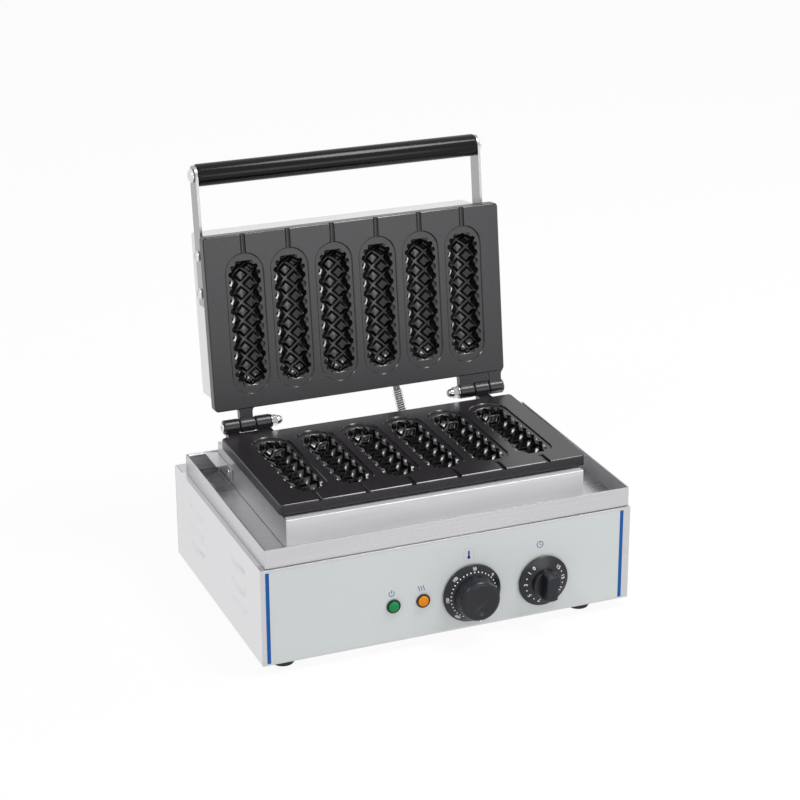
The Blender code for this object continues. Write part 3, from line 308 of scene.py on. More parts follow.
def piece(name, mesh, body, slot, finish, edge=0.0, open_it=False, angle=32):
    """A piece of the object, riding on a CAD body.

    Edges over the angle stay sharp, or are rounded by the width of edge.
    """
    made = linked(name, mesh)
    if open_it:
        made.data.transform(opened)
    made.data.materials.append(finish)
    smoothed(made, angle)
    if edge:
        limit = {"limit_method": "ANGLE", "angle_limit": math.radians(angle)}
        modified(made, "BEVEL", width=edge, segments=2, harden_normals=True, **limit)
    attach(made, body)
    return made


slots = {row["node"]: row["material_slot"] for row in frame["record"]["subparts"]}


def instead(node, name, mesh, finish, **options):
    """A piece in a CAD node's place, with the node's body."""
    made = piece(name, mesh, nodes[node]["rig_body"], slots[node], finish, **options)
    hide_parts(node)
    return made


def whole_faces(node):
    """A CAD node's mesh with the triangles of each flat face joined."""
    mesh = bmesh.new()
    mesh.from_mesh(nodes[node].data)
    bmesh.ops.remove_doubles(mesh, verts=mesh.verts, dist=2e-6)
    bmesh.ops.dissolve_limit(
        mesh, angle_limit=math.radians(0.5), verts=mesh.verts, edges=mesh.edges
    )
    return mesh


def refined(node, finish, edge):
    """A CAD node's own shape again, with its edges rounded."""
    return instead(node, f"{node}_skin", whole_faces(node), finish, edge=edge)


# Turns a piece of the closed lid about the hinge to where it stands open
hinge = Vector((0, hinge_y, hinge_z))
opened = Matrix.Rotation(-open_angle, 4, "X")
opened = Matrix.Translation(hinge) @ opened @ Matrix.Translation(-hinge)


# Materials

def principled(made):
    """The sockets of a material's shader."""
    return made.node_tree.nodes["Principled BSDF"].inputs


def put(sockets, values):
    """Puts values into sockets, by name."""
    for name, value in values.items():
        sockets[name].default_value = value


def shader(name, colour, roughness, metallic=0.0):
    """A Principled material."""
    made = bpy.data.materials.new(name)
    made.use_nodes = True
    values = {"Base Color": (*colour, 1), "Roughness": roughness, "Metallic": metallic}
    put(principled(made), values)
    return made


def add(made, kind, values=None):
    """A node in a material or a world, with values in its sockets."""
    node = made.node_tree.nodes.new(kind)
    put(node.inputs, values or {})
    return node


def wire(made, source, target):
    """A link in a material or a world."""
    made.node_tree.links.new(source, target)


def noise(made, stretch):
    """A noise that keeps to the object, stretched by a scale along each axis."""
    place = add(made, "ShaderNodeTexCoord")
    mapping = add(made, "ShaderNodeMapping", {"Scale": stretch})
    texture = add(made, "ShaderNodeTexNoise", {"Scale": 1, "Detail": 3.0})
    wire(made, place.outputs["Object"], mapping.inputs["Vector"])
    wire(made, mapping.outputs["Vector"], texture.inputs["Vector"])
    return texture.outputs["Fac"]


def spread(made, source, low, high):
    """A value between two, over the middle of the source's range."""
    ranges = {"From Min": 0.3, "From Max": 0.7, "To Min": low, "To Max": high}
    step = add(made, "ShaderNodeMapRange", ranges)
    wire(made, source, step.inputs["Value"])
    return step.outputs["Result"]


def scaled(colour, share):
    """A colour made lighter or darker."""
    return tuple(min(channel * share, 1) for channel in colour)


def tint(made, source, colour, dark, light):
    """Sets the base colour from a dark share of a colour to a light one, by the source."""
    mix = add(made, "ShaderNodeMix")
    mix.data_type = "RGBA"
    put(mix.inputs, {"A": (*scaled(colour, dark), 1), "B": (*scaled(colour, light), 1)})
    wire(made, spread(made, source, 0, 1), mix.inputs["Factor"])
    wire(made, mix.outputs["Result"], principled(made)["Base Color"])


def bumped(made, source, strength, distance):
    """Raises the surface by a source."""
    bump = add(made, "ShaderNodeBump", {"Strength": strength, "Distance": distance})
    wire(made, source, bump.inputs["Height"])
    wire(made, bump.outputs["Normal"], principled(made)["Normal"])


fine = 1400
coarse = 9
stretches = {"x": (coarse, fine, fine), "y": (fine, coarse, fine), "z": (fine, fine, coarse)}


def brushed(name, colour, roughness, grain, contrast):
    """Brushed steel, with its lines along one axis."""
    made = shader(name, colour, roughness, 1.0)
    lines = noise(made, stretches[grain])
    tint(made, lines, colour, 1 - contrast, 1 + contrast)
    rough = spread(made, lines, roughness - 0.05, roughness + 0.07)
    wire(made, rough, principled(made)["Roughness"])
    bumped(made, lines, 0.12, 0.00006)
    return made


def grained(name, colour, roughness, scale, strength, distance, contrast):
    """A moulded or cast surface, with an even fine grain."""
    made = shader(name, colour, roughness)
    grain = noise(made, (scale, scale, scale))
    tint(made, grain, colour, 1 - contrast, 1 + contrast)
    rough = spread(made, grain, roughness - 0.04, roughness + 0.04)
    wire(made, rough, principled(made)["Roughness"])
    bumped(made, grain, strength, distance)
    return made


def faceted(name, colour):
    """A clear coloured lens over a grid of small facets."""
    made = shader(name, colour, 0.2)
    place = add(made, "ShaderNodeTexCoord")
    cells = add(made, "ShaderNodeTexVoronoi", {"Scale": 1150, "Randomness": 0})
    wire(made, place.outputs["Object"], cells.inputs["Vector"])
    depth = cells.outputs["Distance"]
    tint(made, depth, colour, 1.15, 0.7)
    bumped(made, depth, 0.35, 0.00025)
    return made


sheet_steel = brushed("sheet_steel", (0.57, 0.565, 0.58), 0.29, "x", 0.03)
side_steel = brushed("side_steel", (0.72, 0.715, 0.73), 0.36, "y", 0.03)
lid_steel = brushed("lid_steel", (0.74, 0.735, 0.74), 0.36, "x", 0.03)
panel_paint = grained("panel_paint", (0.56, 0.59, 0.59), 0.45, 900, 0.04, 0.00003, 0.015)
stripe_blue = grained("stripe_blue", (0.001, 0.085, 0.33), 0.45, 900, 0.03, 0.00003, 0.03)
print_blue = grained("print_blue", (0.004, 0.08, 0.29), 0.5, 900, 0.03, 0.00003, 0.03)
cast_black = grained("cast_black", (0.0130, 0.0105, 0.0140), 0.29, 1500, 0.22, 0.00005, 0.2)
# The moulds' black is smoother and glossier than the cast black, and is painted darker as shade
# inside the moulds
mould_shaded_black = grained("mould_shaded_black", (0.0012, 0.0011, 0.0013), 0.19, 1500, 0.10, 0.00004, 0.2)
bright_steel = brushed("bright_steel", (0.72, 0.72, 0.725), 0.16, "z", 0.04)
dial_plastic = grained("dial_plastic", (0.0045, 0.0052, 0.0095), 0.30, 2200, 0.12, 0.00003, 0.1)
grip_plastic = grained("grip_plastic", (0.0020, 0.0018, 0.0020), 0.18, 500, 0.01, 0.00002, 0.1)
rubber = grained("rubber", (0.012, 0.012, 0.013), 0.75, 1600, 0.3, 0.00005, 0.2)
mark_white = grained("mark_white", (0.80, 0.80, 0.79), 0.5, 1200, 0.02, 0.00002, 0.02)
cable_jacket = grained("cable_jacket", (0.42, 0.42, 0.43), 0.5, 1500, 0.1, 0.00003, 0.06)
mineral_board = grained("mineral_board", (0.62, 0.58, 0.48), 0.9, 1100, 0.4, 0.0001, 0.12)
dark_steel = brushed("dark_steel", (0.30, 0.29, 0.28), 0.4, "x", 0.1)
terminal_white = grained("terminal_white", (0.70, 0.69, 0.65), 0.4, 900, 0.05, 0.00003, 0.04)
lens_green = faceted("lens_green", (0.001, 0.235, 0.060))
lens_amber = faceted("lens_amber", (0.74, 0.235, 0.002))
chrome_wire = brushed("chrome_wire", (0.82, 0.82, 0.83), 0.16, "z", 0.05)
arm_steel = brushed("arm_steel", (0.38, 0.375, 0.39), 0.33, "z", 0.03)
# Darker than the bright steel: a painted dark reflection on the chrome dome nuts
nut_dark_reflection_steel = brushed("nut_dark_reflection_steel", (0.42, 0.42, 0.43), 0.17, "z", 0.05)
# A lighter copy of the sheet steel, as painted light on the pedestal's front, rear and right
# sheets
pedestal_lit_steel = brushed("pedestal_lit_steel", (0.85, 0.845, 0.86), 0.42, "x", 0.02)
print_grey = grained("print_grey", (0.40, 0.43, 0.43), 0.42, 900, 0.03, 0.00003, 0.03)
put(principled(pedestal_lit_steel), {"Metallic": 0.6})
for finish in (stripe_blue, print_blue, lens_green, lens_amber, grip_plastic):
    put(principled(finish), {"Specular IOR Level": 0.22})
put(principled(mould_shaded_black), {"Specular IOR Level": 0.65})
put(principled(dial_plastic), {"Specular IOR Level": 0.42})


# CAD nodes whose shape stands, each with its edges rounded

for finish, edge, names in (
    (sheet_steel, 0.0009, ("front_panel",)),
    (side_steel, 0.0005, ("left_side_panel", "right_side_panel")),
    (sheet_steel, 0.0005, ("rear_panel",)),
    (sheet_steel, 0.0003, ("bottom_plate",)),
    (sheet_steel, 0.0005, ("drip_tray",)),
    (sheet_steel, 0.0003, ("rear_bracket_left", "rear_bracket_right")),
    (lid_steel, 0.0006, ("lid_shell",)),
    (arm_steel, 0.0004, ("handle_arm_left", "handle_arm_right")),
):
    for node in names:
        refined(node, finish, edge)

# The pedestal's sheets reach up close under the plate
# The left sheet keeps the darker sheet steel as painted shade, and the others take the lighter
# painted copy
for node in ("pedestal_front", "pedestal_rear", "pedestal_left", "pedestal_right"):
    sheet = refined(node, sheet_steel if node == "pedestal_left" else pedestal_lit_steel, 0.0004)
    for vertex in sheet.data.vertices:
        if vertex.co.z > pedestal_bend:
            vertex.co.z += pedestal_rise


# The mould plates

mould_first = deck_shift - mould_pitch * (mould_count - 1) / 2
mould_centres = [mould_first + mould_pitch * index for index in range(mould_count)]


def recess_outline(x, inset):
    """The outline of a recess, with round ends, drawn in by an inset."""
    radius = recess_width / 2 - inset
    front = plate_front + recess_setback + recess_width / 2
    back = front + recess_length - recess_width
    return [
        point
        for y, start in ((back, 0), (front, math.pi))
        for point in moved(arc(radius, radius, start, start + math.pi, 16), x, y)
    ]


# A peg's height over half a cell, from its middle to the valley round it
peg_shares = (0, 0.13, 0.236, 0.256, 0.274, 0.289, 0.300, 0.400, 0.414, 0.436)
peg_drops = (0, 0, 0.00002, 0.00009, 0.00022, 0.00041, 0.00064, 0.00254, 0.00271, 0.0028)


def peg_rise(first, second):
    """How far the mould's wall stands in at a place, in steps along the pattern's two ways."""
    off = max(abs(first - round(first)), abs(second - round(second)))
    for near, far, start, end in zip(peg_shares, peg_shares[1:], peg_drops, peg_drops[1:]):
        if off <= far:
            share = (off - near) / (far - near)
            return mould_relief - (start * (1 - share) + end * share)
    return 0


def mould_sheet():
    """A mould's wall laid flat: columns across, rows along, and how far the pegs rise."""
    marks = sorted({side * share for share in peg_shares for side in (-1, 1)})
    reach = mould_columns // 2 + mould_rows // 2 + 2
    steps = [cell + mark for cell in range(-reach, reach) for mark in marks]
    mesh = bmesh.new()
    made = {}

    def vertex(first, second):
        if (first, second) not in made:
            place = (first + second, first - second + 1, peg_rise(first, second))
            made[first, second] = mesh.verts.new(place)
        return made[first, second]

    for near, far in zip(steps, steps[1:]):
        for left, right in zip(steps, steps[1:]):
            column = (near + far + left + right) / 2
            row = (near + far - left - right) / 2 + 1
            if abs(column) > mould_columns / 2 + 0.6 or abs(row) > mould_rows / 2 + 0.6:
                continue
            places = [(near, left), (far, left), (far, right), (near, right)]
            if (near + far - 2 * round(far)) * (left + right - 2 * round(right)) < 0:
                places = places[1:] + places[:1]
            corners = [vertex(*place) for place in places]
            mesh.faces.new((corners[0], corners[1], corners[2]))
            mesh.faces.new((corners[0], corners[2], corners[3]))
    for way in ((1, 0), (-1, 0), (0, 1), (0, -1)):
        place = (way[0] * mould_columns / 2, way[1] * mould_rows / 2, 0)
        geometry = [*mesh.verts, *mesh.edges, *mesh.faces]
        bmesh.ops.bisect_plane(
            mesh, geom=geometry, dist=nearly, plane_co=place, plane_no=(*way, 0), clear_outer=True
        )
    return mesh


def mould_point(column, row, rise):
    """A place on a mould's wall: across the recess, along it and below its floor."""
    turn = math.pi * column / mould_columns
    run = recess_length / 2 + row * mould_row
    near = mould_end_ledge + mould_half
    centre = min(max(run, near), recess_length - near)
    past = (run - centre) * mould_cap_share / mould_half
    radius = mould_half - rise
    return (
        radius * math.sin(turn) * math.cos(past),
        centre + radius * math.sin(past),
        mould_chamfer + radius * math.cos(turn) * math.cos(past),
    )


def mould_mesh():
    """A mould's wall with a chamfer round its rim, and its outline on the recess's floor."""
    mesh = mould_sheet()

    def border(axis, place, way):
        """The sheet's corners at a place along an axis, in order along the other one."""
        found = [v for v in mesh.verts if abs(v.co[axis] - place) < 2 * nearly]
        return sorted(found, key=lambda vertex: way * vertex.co[1 - axis])

    sides = [border(0, side * mould_columns / 2, side) for side in (1, -1)]
    ends = [border(1, end * mould_rows / 2, 1) for end in (1, -1)]
    for vertex in mesh.verts:
        vertex.co = mould_point(*vertex.co)
    for face in mesh.faces:
        face.material_index = 1
    rim = []
    for side, end in zip(sides, ends):
        middle = mesh.verts.new((end[0].co + end[-1].co) / 2)
        for near, far in zip(end, end[1:]):
            mesh.faces.new((near, far, middle))
        rim += [*side, middle]
    lip = []
    for index, vertex in enumerate(rim):
        before = rim[index - 1].co
        after = rim[(index + 1) % len(rim)].co
        way = (after - before).normalized()
        lip.append((vertex.co.x + way.y * mould_chamfer, vertex.co.y - way.x * mould_chamfer))
    top = [mesh.verts.new((across, run, 0)) for across, run in lip]
    for index, vertex in enumerate(rim):
        mesh.faces.new((rim[index - 1], vertex, top[index], top[index - 1]))
    return mesh, lip


def boolean(mesh, tools, operation="DIFFERENCE"):
    """A mesh with others cut away from it, or joined to it."""
    made = linked("made", mesh)
    for other in tools:
        tool = linked("tool", other)
        modified(made, "BOOLEAN", operation=operation, solver="EXACT", object=tool)
        result = evaluated(made)
        made.modifiers.clear()
        made.data = result
        bpy.data.objects.remove(tool)
    return taken(made)


mould_wall, mould_lip = mould_mesh()


def recess_mesh(x, face, into):
    """A recess with a chamfered rim and a chamfer round its floor."""
    steps = [(-plate_chamfer, -0.0020), (-plate_chamfer, 0), (-0.0001, 0.0007), (0, 0.0009)]
    steps += [(0, recess_depth - 0.00035), (0.0001, recess_depth - 0.0001)]
    steps += [(0.00035, recess_depth)]
    return lofted([level(recess_outline(x, inset), face + into * depth) for inset, depth in steps])


def groove_mesh(x, face, into):
    """The half-round groove for the stick, from the plate's front edge to the recess."""
    half = groove_width / 2
    lip = 0.0003
    shoulder = [(half + 0.0004, -0.002), (half + 0.0004, 0), (half + 0.0001, 0.00008)]
    bed = moved(arc(half, groove_depth - lip, 0, math.pi, 12), 0, lip)
    outline = shoulder + bed + [(-across, depth) for across, depth in shoulder[::-1]]
    points = [(x + across, face + into * depth) for across, depth in outline]
    front = plate_front - 0.003
    back = plate_front + recess_setback + plate_chamfer
    return prism(points, "y", front, back)


def slab(face, into, thickness):
    """A plate's outline with round corners, and a chamfer round its back and its face."""
    back = face + into * thickness
    wide = plate_chamfer + 0.00025
    steps = (
        (plate_chamfer, back),
        (0, back - into * plate_chamfer),
        (0, face + into * wide),
        (0.0001, face + into * plate_chamfer),
        (plate_chamfer, face + into * 0.0001),
        (wide, face),
    )
    rings = []
    for inset, height in steps:
        left, right = plate_left + inset, plate_right - inset
        front, rear = plate_front + inset, plate_back - inset
        rings.append(level(rounded(left, right, front, rear, plate_corner - inset), height))
    return lofted(rings)


def hinge_places(side):
    """The middles of a hinge's three knuckles, from the outside in."""
    centre = hinge_left if side < 0 else hinge_right
    return [centre + side * place * knuckle_pitch for place in (1, 0, -1)]


def knuckle_mesh(middle, face, into):
    """A knuckle with chamfered ends, and its lug, whose sides flare into the plate."""
    bore = 0.0033
    half = knuckle_half
    cut = 0.0008
    narrow = knuckle_radius - cut
    profile = [(bore, -half), (narrow, -half), (knuckle_radius, cut - half)]
    profile += [(knuckle_radius, half - cut), (narrow, half), (bore, half)]
    barrel = turned(raised(profile, middle), "x", (hinge_y, hinge_z), 40, True)
    top = face + into * 0.0008
    low = face + into * 0.0094
    rings = []
    for y, wide in (
        (plate_back - 0.004, 0.0095),
        (plate_back - 0.0006, 0.0088),
        (plate_back + 0.0012, 0.0072),
        (plate_back + 0.0035, 0.0066),
        (hinge_y - 0.003, 0.0065),
    ):
        left, right = middle - wide, middle + wide
        rings.append([(left, y, top), (right, y, top), (right, y, low), (left, y, low)])
    return together([barrel, lofted(rings)])


def web_mesh(side, face, into):
    """The casting between a hinge's two outer lugs, clear of the knuckle in its middle."""
    middle = hinge_places(side)[1]
    half = 0.0110
    back = hinge_y - knuckle_radius - 0.0002
    top, low = face + into * 0.0014, face + into * 0.0090
    return block((middle - half, plate_back - 0.0020, low), (middle + half, back, top))


def hinge_half(side, face):
    """One plate's knuckles: two with a web between them at one hinge, and one at the other.

    The lower plate has its pair at the left hinge and the upper plate at the right one.
    """
    outer, _, inner = hinge_places(side)
    middle = hinge_places(-side)[1]
    places = (outer, inner, middle) if side < 0 else (middle, outer, inner)
    knuckles = [knuckle_mesh(x, face, side) for x in places]
    return together([*knuckles, web_mesh(side, face, side)])


def plate_piece(name, node, face, into, thickness):
    """A plate: slab, block behind, recesses, stick grooves and the patterned moulds.

    Its body lies below its face, into -1, for the lower plate, and above it for the upper one.
    """
    under = face + into * thickness
    core = block(
        (plate_left + block_inset_x, plate_front + block_inset_y, under - into * 0.001),
        (plate_right - block_inset_x, plate_back - block_inset_y, under + into * block_depth),
    )
    shell = boolean(slab(face, into, thickness), [core], "UNION")
    start = plate_front + recess_setback
    floor = face + into * hole_drop
    outlines = [moved(mould_lip, x, start) for x in mould_centres]
    cuts = (
        [recess_mesh(x, face, into) for x in mould_centres],
        [groove_mesh(x, face, into) for x in mould_centres],
        [prism(outline, "z", floor, face - into * hole_drop) for outline in outlines],
    )
    shell = boolean(shell, [together(cut) for cut in cuts])
    bottoms = [
        side for side in shell.faces if any(abs(end.co.z - floor) < weld for end in side.verts)
    ]
    bmesh.ops.delete(shell, geom=bottoms, context="FACES")
    parts = []
    for x in mould_centres:
        wall = mould_wall.copy()
        for vertex in wall.verts:
            across, run, depth = vertex.co
            vertex.co = (x + across, start + run, face + into * (recess_depth + depth))
        parts.append(wall)
    joined = together([*parts, shell])
    bmesh.ops.remove_doubles(joined, verts=joined.verts, dist=weld)
    bmesh.ops.recalc_face_normals(joined, faces=joined.faces)
    # Slanted faces take the moulds' glossier black, which is painted darker as shade
    for side in joined.faces:
        if 0.35 < abs(side.normal.z) < 0.95:
            side.material_index = 1
    plate = instead(node, name, joined, cast_black, open_it=into > 0)
    plate.data.materials.append(mould_shaded_black)
    modified(plate, "WEIGHTED_NORMAL", keep_sharp=True, weight=100)


def pads():
    """The four round pads that carry the lower plate on the pedestal."""
    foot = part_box("pedestal_front")[1][2] + pedestal_rise + clearance
    ends = [(pad_radius, foot), (pad_radius, plate_under + clearance)]
    inset = block_inset_y + pad_inset_y
    return [
        turned(ends, "z", (x, y), 40)
        for x in (plate_left + pad_inset_x, plate_right - pad_inset_x)
        for y in (plate_front + inset, plate_back - inset)
    ]


plate_piece("lower_mould_plate", "lower_plate", plate_face, -1, lower_thickness)
piece("lower_plate_pads", together(pads()), "base", "cast_nonstick", cast_black)
plate_piece("upper_mould_plate", "upper_plate", upper_face, 1, upper_thickness)
for name, side, face, body in (
    ("lower_hinge_knuckles", -1, plate_face, "base"),
    ("upper_hinge_knuckles", 1, upper_face, "lid"),
):
    half = hinge_half(side, face)
    piece(name, half, body, "cast_nonstick", cast_black, edge=0.0003, open_it=side > 0)


# Fasteners of the hinges

dome_turn = math.pi / 2 * 0.97


def screw_mesh(axis, place, seat, tip, outward, radius, head_radius, head, top_share=0.6):
    """A screw: a shank from its tip to the seat, a short rim there and a low dome over it."""
    cut = 0.0003
    edge = 0.00025
    rim = head * (1 - top_share)
    dome = raised(arc(head_radius, head - rim, 0, dome_turn, 10), rim)
    profile = [(radius - cut, tip), (radius, tip + outward * cut), (radius, seat)]
    profile += raised([(head_radius - edge, 0), (head_radius, edge), *dome], seat, outward)
    return turned(profile, axis, place, 40)


def blades(axis, place, top, outward, width, depth, reach, crossed=False):
    """The blade that cuts a slot in a screw's head, or the two that cut a cross."""
    half = width / 2
    heights = (top - outward * depth, top + outward * 0.002)
    return [
        prism(moved([(-a, -b), (a, -b), (a, b), (-a, b)], *place), axis, *heights)
        for a, b in ((reach, half), (half, reach))[: 2 if crossed else 1]
    ]


def hexagon(across, place):
    """The outline of a hexagon, by its width across flats."""
    return circle(across / math.sqrt(3), 6, place)


def hinge_fasteners():
    """A headed pin through each hinge, and the dome nut on its inner end."""
    place = (hinge_y, hinge_z)
    reach = knuckle_half + clearance
    rim = 0.0068
    ball_radius = 0.0045
    for name, side in (("left", -1), ("right", 1)):
        outer, _, inner = hinge_places(side)
        seat = outer + side * reach
        nut = inner - side * reach
        tip = nut - side * 0.0080
        pin = screw_mesh("x", place, seat, tip, side, 0.0030, 0.0047, 0.0018, 0.7)
        socket = prism(hexagon(0.0032, place), "x", seat + side * 0.0008, seat + side * 0.0040)
        pin = boolean(pin, [socket])
        node = f"hinge_pin_{name}"
        instead(node, f"{node}_bright", pin, bright_steel)
        shoulder = nut - side * 0.0067
        flange = [(0.0031, 0), (0.0066, 0), (rim, 0.0002), (rim, 0.0009), (0.0062, 0.0012)]
        flange.append((0.0031, 0.0012))
        dome = raised(arc(ball_radius, 0.0046, 0, dome_turn, 9), 0.0015)
        flats = [
            [along("x", a, b, height) for a, b in hexagon(0.0100 * share, place)]
            for height, share in (
                (nut - side * 0.0011, 1),
                (shoulder + side * 0.0006, 1),
                (shoulder, 0.90),
            )
        ]
        parts = [
            turned(raised(flange, nut, -side), "x", place, 48, True),
            lofted(flats),
            turned(raised([(ball_radius, -0.0008), *dome], shoulder, -side), "x", place, 40),
        ]
        node = f"dome_nut_{name}"
        mesh = together(parts)
        instead(node, f"{node}_bright", mesh, nut_dark_reflection_steel, edge=0.0002)


hinge_fasteners()


# Brackets' and panels' screws

def cross_screw(axis, place, seat, tip, outward, sizes):
    """A cross-head screw, by its radius, and its head's radius and height."""
    radius, head_radius, head = sizes
    mesh = screw_mesh(axis, place, seat, tip, outward, radius, head_radius, head)
    top = seat + outward * head
    width, depth, reach = head_radius * 0.22, head * 0.55, head_radius * 0.62
    return boolean(mesh, blades(axis, place, top, outward, width, depth, reach, True))


bracket_sizes = (0.0015, 0.0029, 0.0016)
for side, name in ((-1, "left"), (1, "right")):
    node = f"bracket_screw_{name}"
    low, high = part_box(node)
    place = ((low[1] + high[1]) / 2, (low[2] + high[2]) / 2)
    tip, top = (high[0], low[0]) if side < 0 else (low[0], high[0])
    seat = top - side * bracket_sizes[2]
    mesh = cross_screw("x", place, seat, tip, side, bracket_sizes)
    instead(node, f"{node}_bright", mesh, bright_steel)
    mesh = cross_screw("x", (place[0] + 0.0260, place[1]), seat, tip, side, bracket_sizes)
    piece(f"{node}_second", mesh, "base", "bright_steel", bright_steel)

rear_sizes = (0.0016, 0.0034, 0.0018)
rear_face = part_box("rear_panel")[1][1]
for column, x in enumerate((-0.172, -0.058, 0.058, 0.172)):
    for row, z in enumerate((0.0175, 0.0925)):
        mesh = cross_screw("y", (x, z), rear_face + 0.00005, rear_face - 0.004, 1, rear_sizes)
        piece(f"rear_screw_{column}_{row}", mesh, "base", "bright_steel", bright_steel)


# Handle

def arm_screws():
    """Slotted screws through the arms, and the bolts of the grip."""
    arm_thickness = 0.0028
    head = 0.0036
    for name, face, outward in (("left", shell_left, -1), ("right", shell_right, 1)):
        near = face + outward * clearance
        seat = near + outward * arm_thickness
        tip = near - outward * 0.006
        for row, y in (("front", 0.0620 + shift_y), ("rear", 0.0990 + shift_y)):
            node = f"arm_screw_{name}_{row}"
            place = (y, grip_z)
            mesh = screw_mesh("x", place, seat, tip, outward, 0.0025, 0.0053, head, 0.75)
            top = seat + outward * head
            mesh = boolean(mesh, blades("x", place, top, outward, 0.0013, 0.0016, 0.0070))
            instead(node, f"{node}_bright", mesh, bright_steel, open_it=True)
        node = f"handle_bolt_{name}"
        place = (grip_y, grip_z)
        tip = near - outward * 0.0177
        bolt = screw_mesh("x", place, seat, tip, outward, 0.0030, 0.0068, 0.0048, 0.85)
        instead(node, f"{node}_bright", bolt, bright_steel, open_it=True)


def grip_mesh():
    """The round grip with rolled edges, and a blind bore for the bolt in each end."""
    bore = 0.0034
    edge = 0.0018
    end = [(bore, 0.0170), (bore, 0.0006), (0.0042, 0)]
    end += moved(arc(edge, edge, -math.pi / 2, 0), grip_radius - edge, edge)
    profile = raised(end, shell_left) + raised(end, shell_right, -1)[::-1]
    return turned(profile, "x", (grip_y, grip_z), 72)


arm_screws()
instead("handle_grip", "grip_bar", grip_mesh(), grip_plastic, open_it=True)


# Front overlay with its print

overlay_thickness = 0.00016
print_thickness = 0.00004
overlay_left = -0.1807
overlay_right = 0.1777
overlay_low = 0.0118
overlay_high = 0.1026
stripe_width = 0.0036


def on_front(outline, low=overlay_thickness, high=overlay_thickness + print_thickness):
    """A flat shape, given by x and z, over the front panel: print, or between two heights."""
    return prism(outline, "y", front_face - high, front_face - low)


def printed(name, meshes, finish):
    """Flat shapes printed on the overlay."""
    return piece(name, together(meshes), "base", "front_overlay", finish)


def stroke(points, width):
    """The outline of a line of some width through points."""
    left = []
    right = []
    for index, point in enumerate(points):
        before = points[max(index - 1, 0)]
        after = points[min(index + 1, len(points) - 1)]
        way = Vector((after[0] - before[0], after[1] - before[1])).normalized()
        left.append((point[0] - way.y * width / 2, point[1] + way.x * width / 2))
        right.append((point[0] + way.y * width / 2, point[1] - way.x * width / 2))
    return left + right[::-1]


def ring(x, z, radius, width, start=0.0, end=math.tau):
    """A printed ring, or part of one."""
    return on_front(stroke(moved(arc(radius, radius, start, end, 40), x, z), width))


overlay = rounded(overlay_left, overlay_right, overlay_low, overlay_high, 0.0006, 3)
sheet = on_front(overlay, 0, overlay_thickness)
piece("overlay", sheet, "base", "front_overlay", panel_paint, edge=0.00005)
stripes = [
    on_front(rounded(low, low + stripe_width, overlay_low, overlay_high, 0.0005, 3))
    for low in (overlay_left, overlay_right - stripe_width)
]
printed("overlay_stripes", stripes, stripe_blue)


def pictograms():
    """Small signs over the lamps and knobs: thermometer, power, heat and clock."""
    line = 0.0007
    x = 0.0178
    meshes = []
    for half, low, high in ((0.0009, 0.0815, 0.0895), (0.0016, 0.0810, 0.0842)):
        meshes.append(on_front(rounded(x - half, x + half, low, high, half * 0.98, 5)))
    x, z = -0.0593, 0.0597
    meshes.append(ring(x, z, 0.0026, line, math.radians(125), math.radians(415)))
    meshes.append(on_front(rounded(x - 0.0004, x + 0.0004, z + 0.0002, z + 0.0036, 0.0003, 3)))
    x, z = -0.0297, 0.0597
    for shift in (-0.0024, 0, 0.0024):
        wave = [
            (x + shift + 0.0006 * math.sin(math.tau * step / 16), z - 0.0028 + 0.0056 * step / 16)
            for step in range(17)
        ]
        meshes.append(on_front(stroke(wave, line)))
    x, z = 0.0907, 0.0826
    meshes.append(ring(x, z, 0.0031, line))
    meshes.append(on_front(stroke([(x, z + 0.0021), (x, z), (x + 0.0014, z - 0.0008)], 0.0006)))
    printed("pictograms", meshes, print_blue)
    corners = rounded(0.0128, 0.0228, 0.0793, 0.0915, 0.0012, 4)
    frame_line = on_front(stroke([*corners, corners[0], corners[1]], 0.0003))
    printed("pictogram_frame", [frame_line], print_grey)


pictograms()


# Lamps

def lamps():
    """A dark bezel and a domed lens for each lamp."""
    front = front_face - 0.0022
    rim = 0.0068
    lens_radius = 0.0053
    bezel = [(0.0046, 0.0262), (0.0046, 0.0019), (0.0066, 0.0019), (rim, 0.0016), (rim, 0.0006)]
    bezel += [(0.0065, 0.0001), (0.0061, 0), (0.0058, 0.0001), (0.0055, 0.0005), (0.0054, 0.0016)]
    lens = [(0.0052, 0.0015), (lens_radius, 0.0008), (lens_radius, 0.0006)]
    lens += raised(arc(lens_radius, 0.0020, 0, math.pi / 2 * 0.96, 10), 0.0004, -1)
    for name, x, finish in (("green", -0.0577, lens_green), ("amber", -0.0282, lens_amber)):
        place = (x, 0.0469)
        shell = turned(raised(bezel, front), "y", place, 64)
        instead(f"{name}_lamp_holder", f"{name}_bezel", shell, dial_plastic)
        glass = turned(raised(lens, front), "y", place, 48)
        instead(f"{name}_lamp_lens", f"{name}_lens", glass, finish)


lamps()


# Knobs

thermostat_place = (0.0206, 0.0462)
timer_place = (0.0940, 0.0452)
knob_back = front_face - 0.0012
skirt_thickness = 0.0016


def knob_profile(skirt_radius, foot_radius, cone, hub, front_radius, edge):
    """A knob's profile: a thin skirt with a cone face, and a grip with a rounded front edge.

    The cone face lies between its fourth and fifth places.
    """
    skirt = knob_back - skirt_thickness
    foot = skirt - cone
    profile = [
        (skirt_radius - 0.0005, knob_back),
        (skirt_radius, knob_back - 0.0004),
        (skirt_radius, skirt + 0.0003),
        (skirt_radius - 0.0004, skirt - 0.0002),
        (foot_radius + 0.0007, foot + 0.0003),
        (foot_radius + 0.0001, foot - 0.0001),
        (foot_radius, foot - 0.0009),
    ]
    corner = moved(arc(edge, edge, 0, math.pi / 2, 8), front_radius - edge, 0)
    return profile + raised(corner, hub + edge, -1)


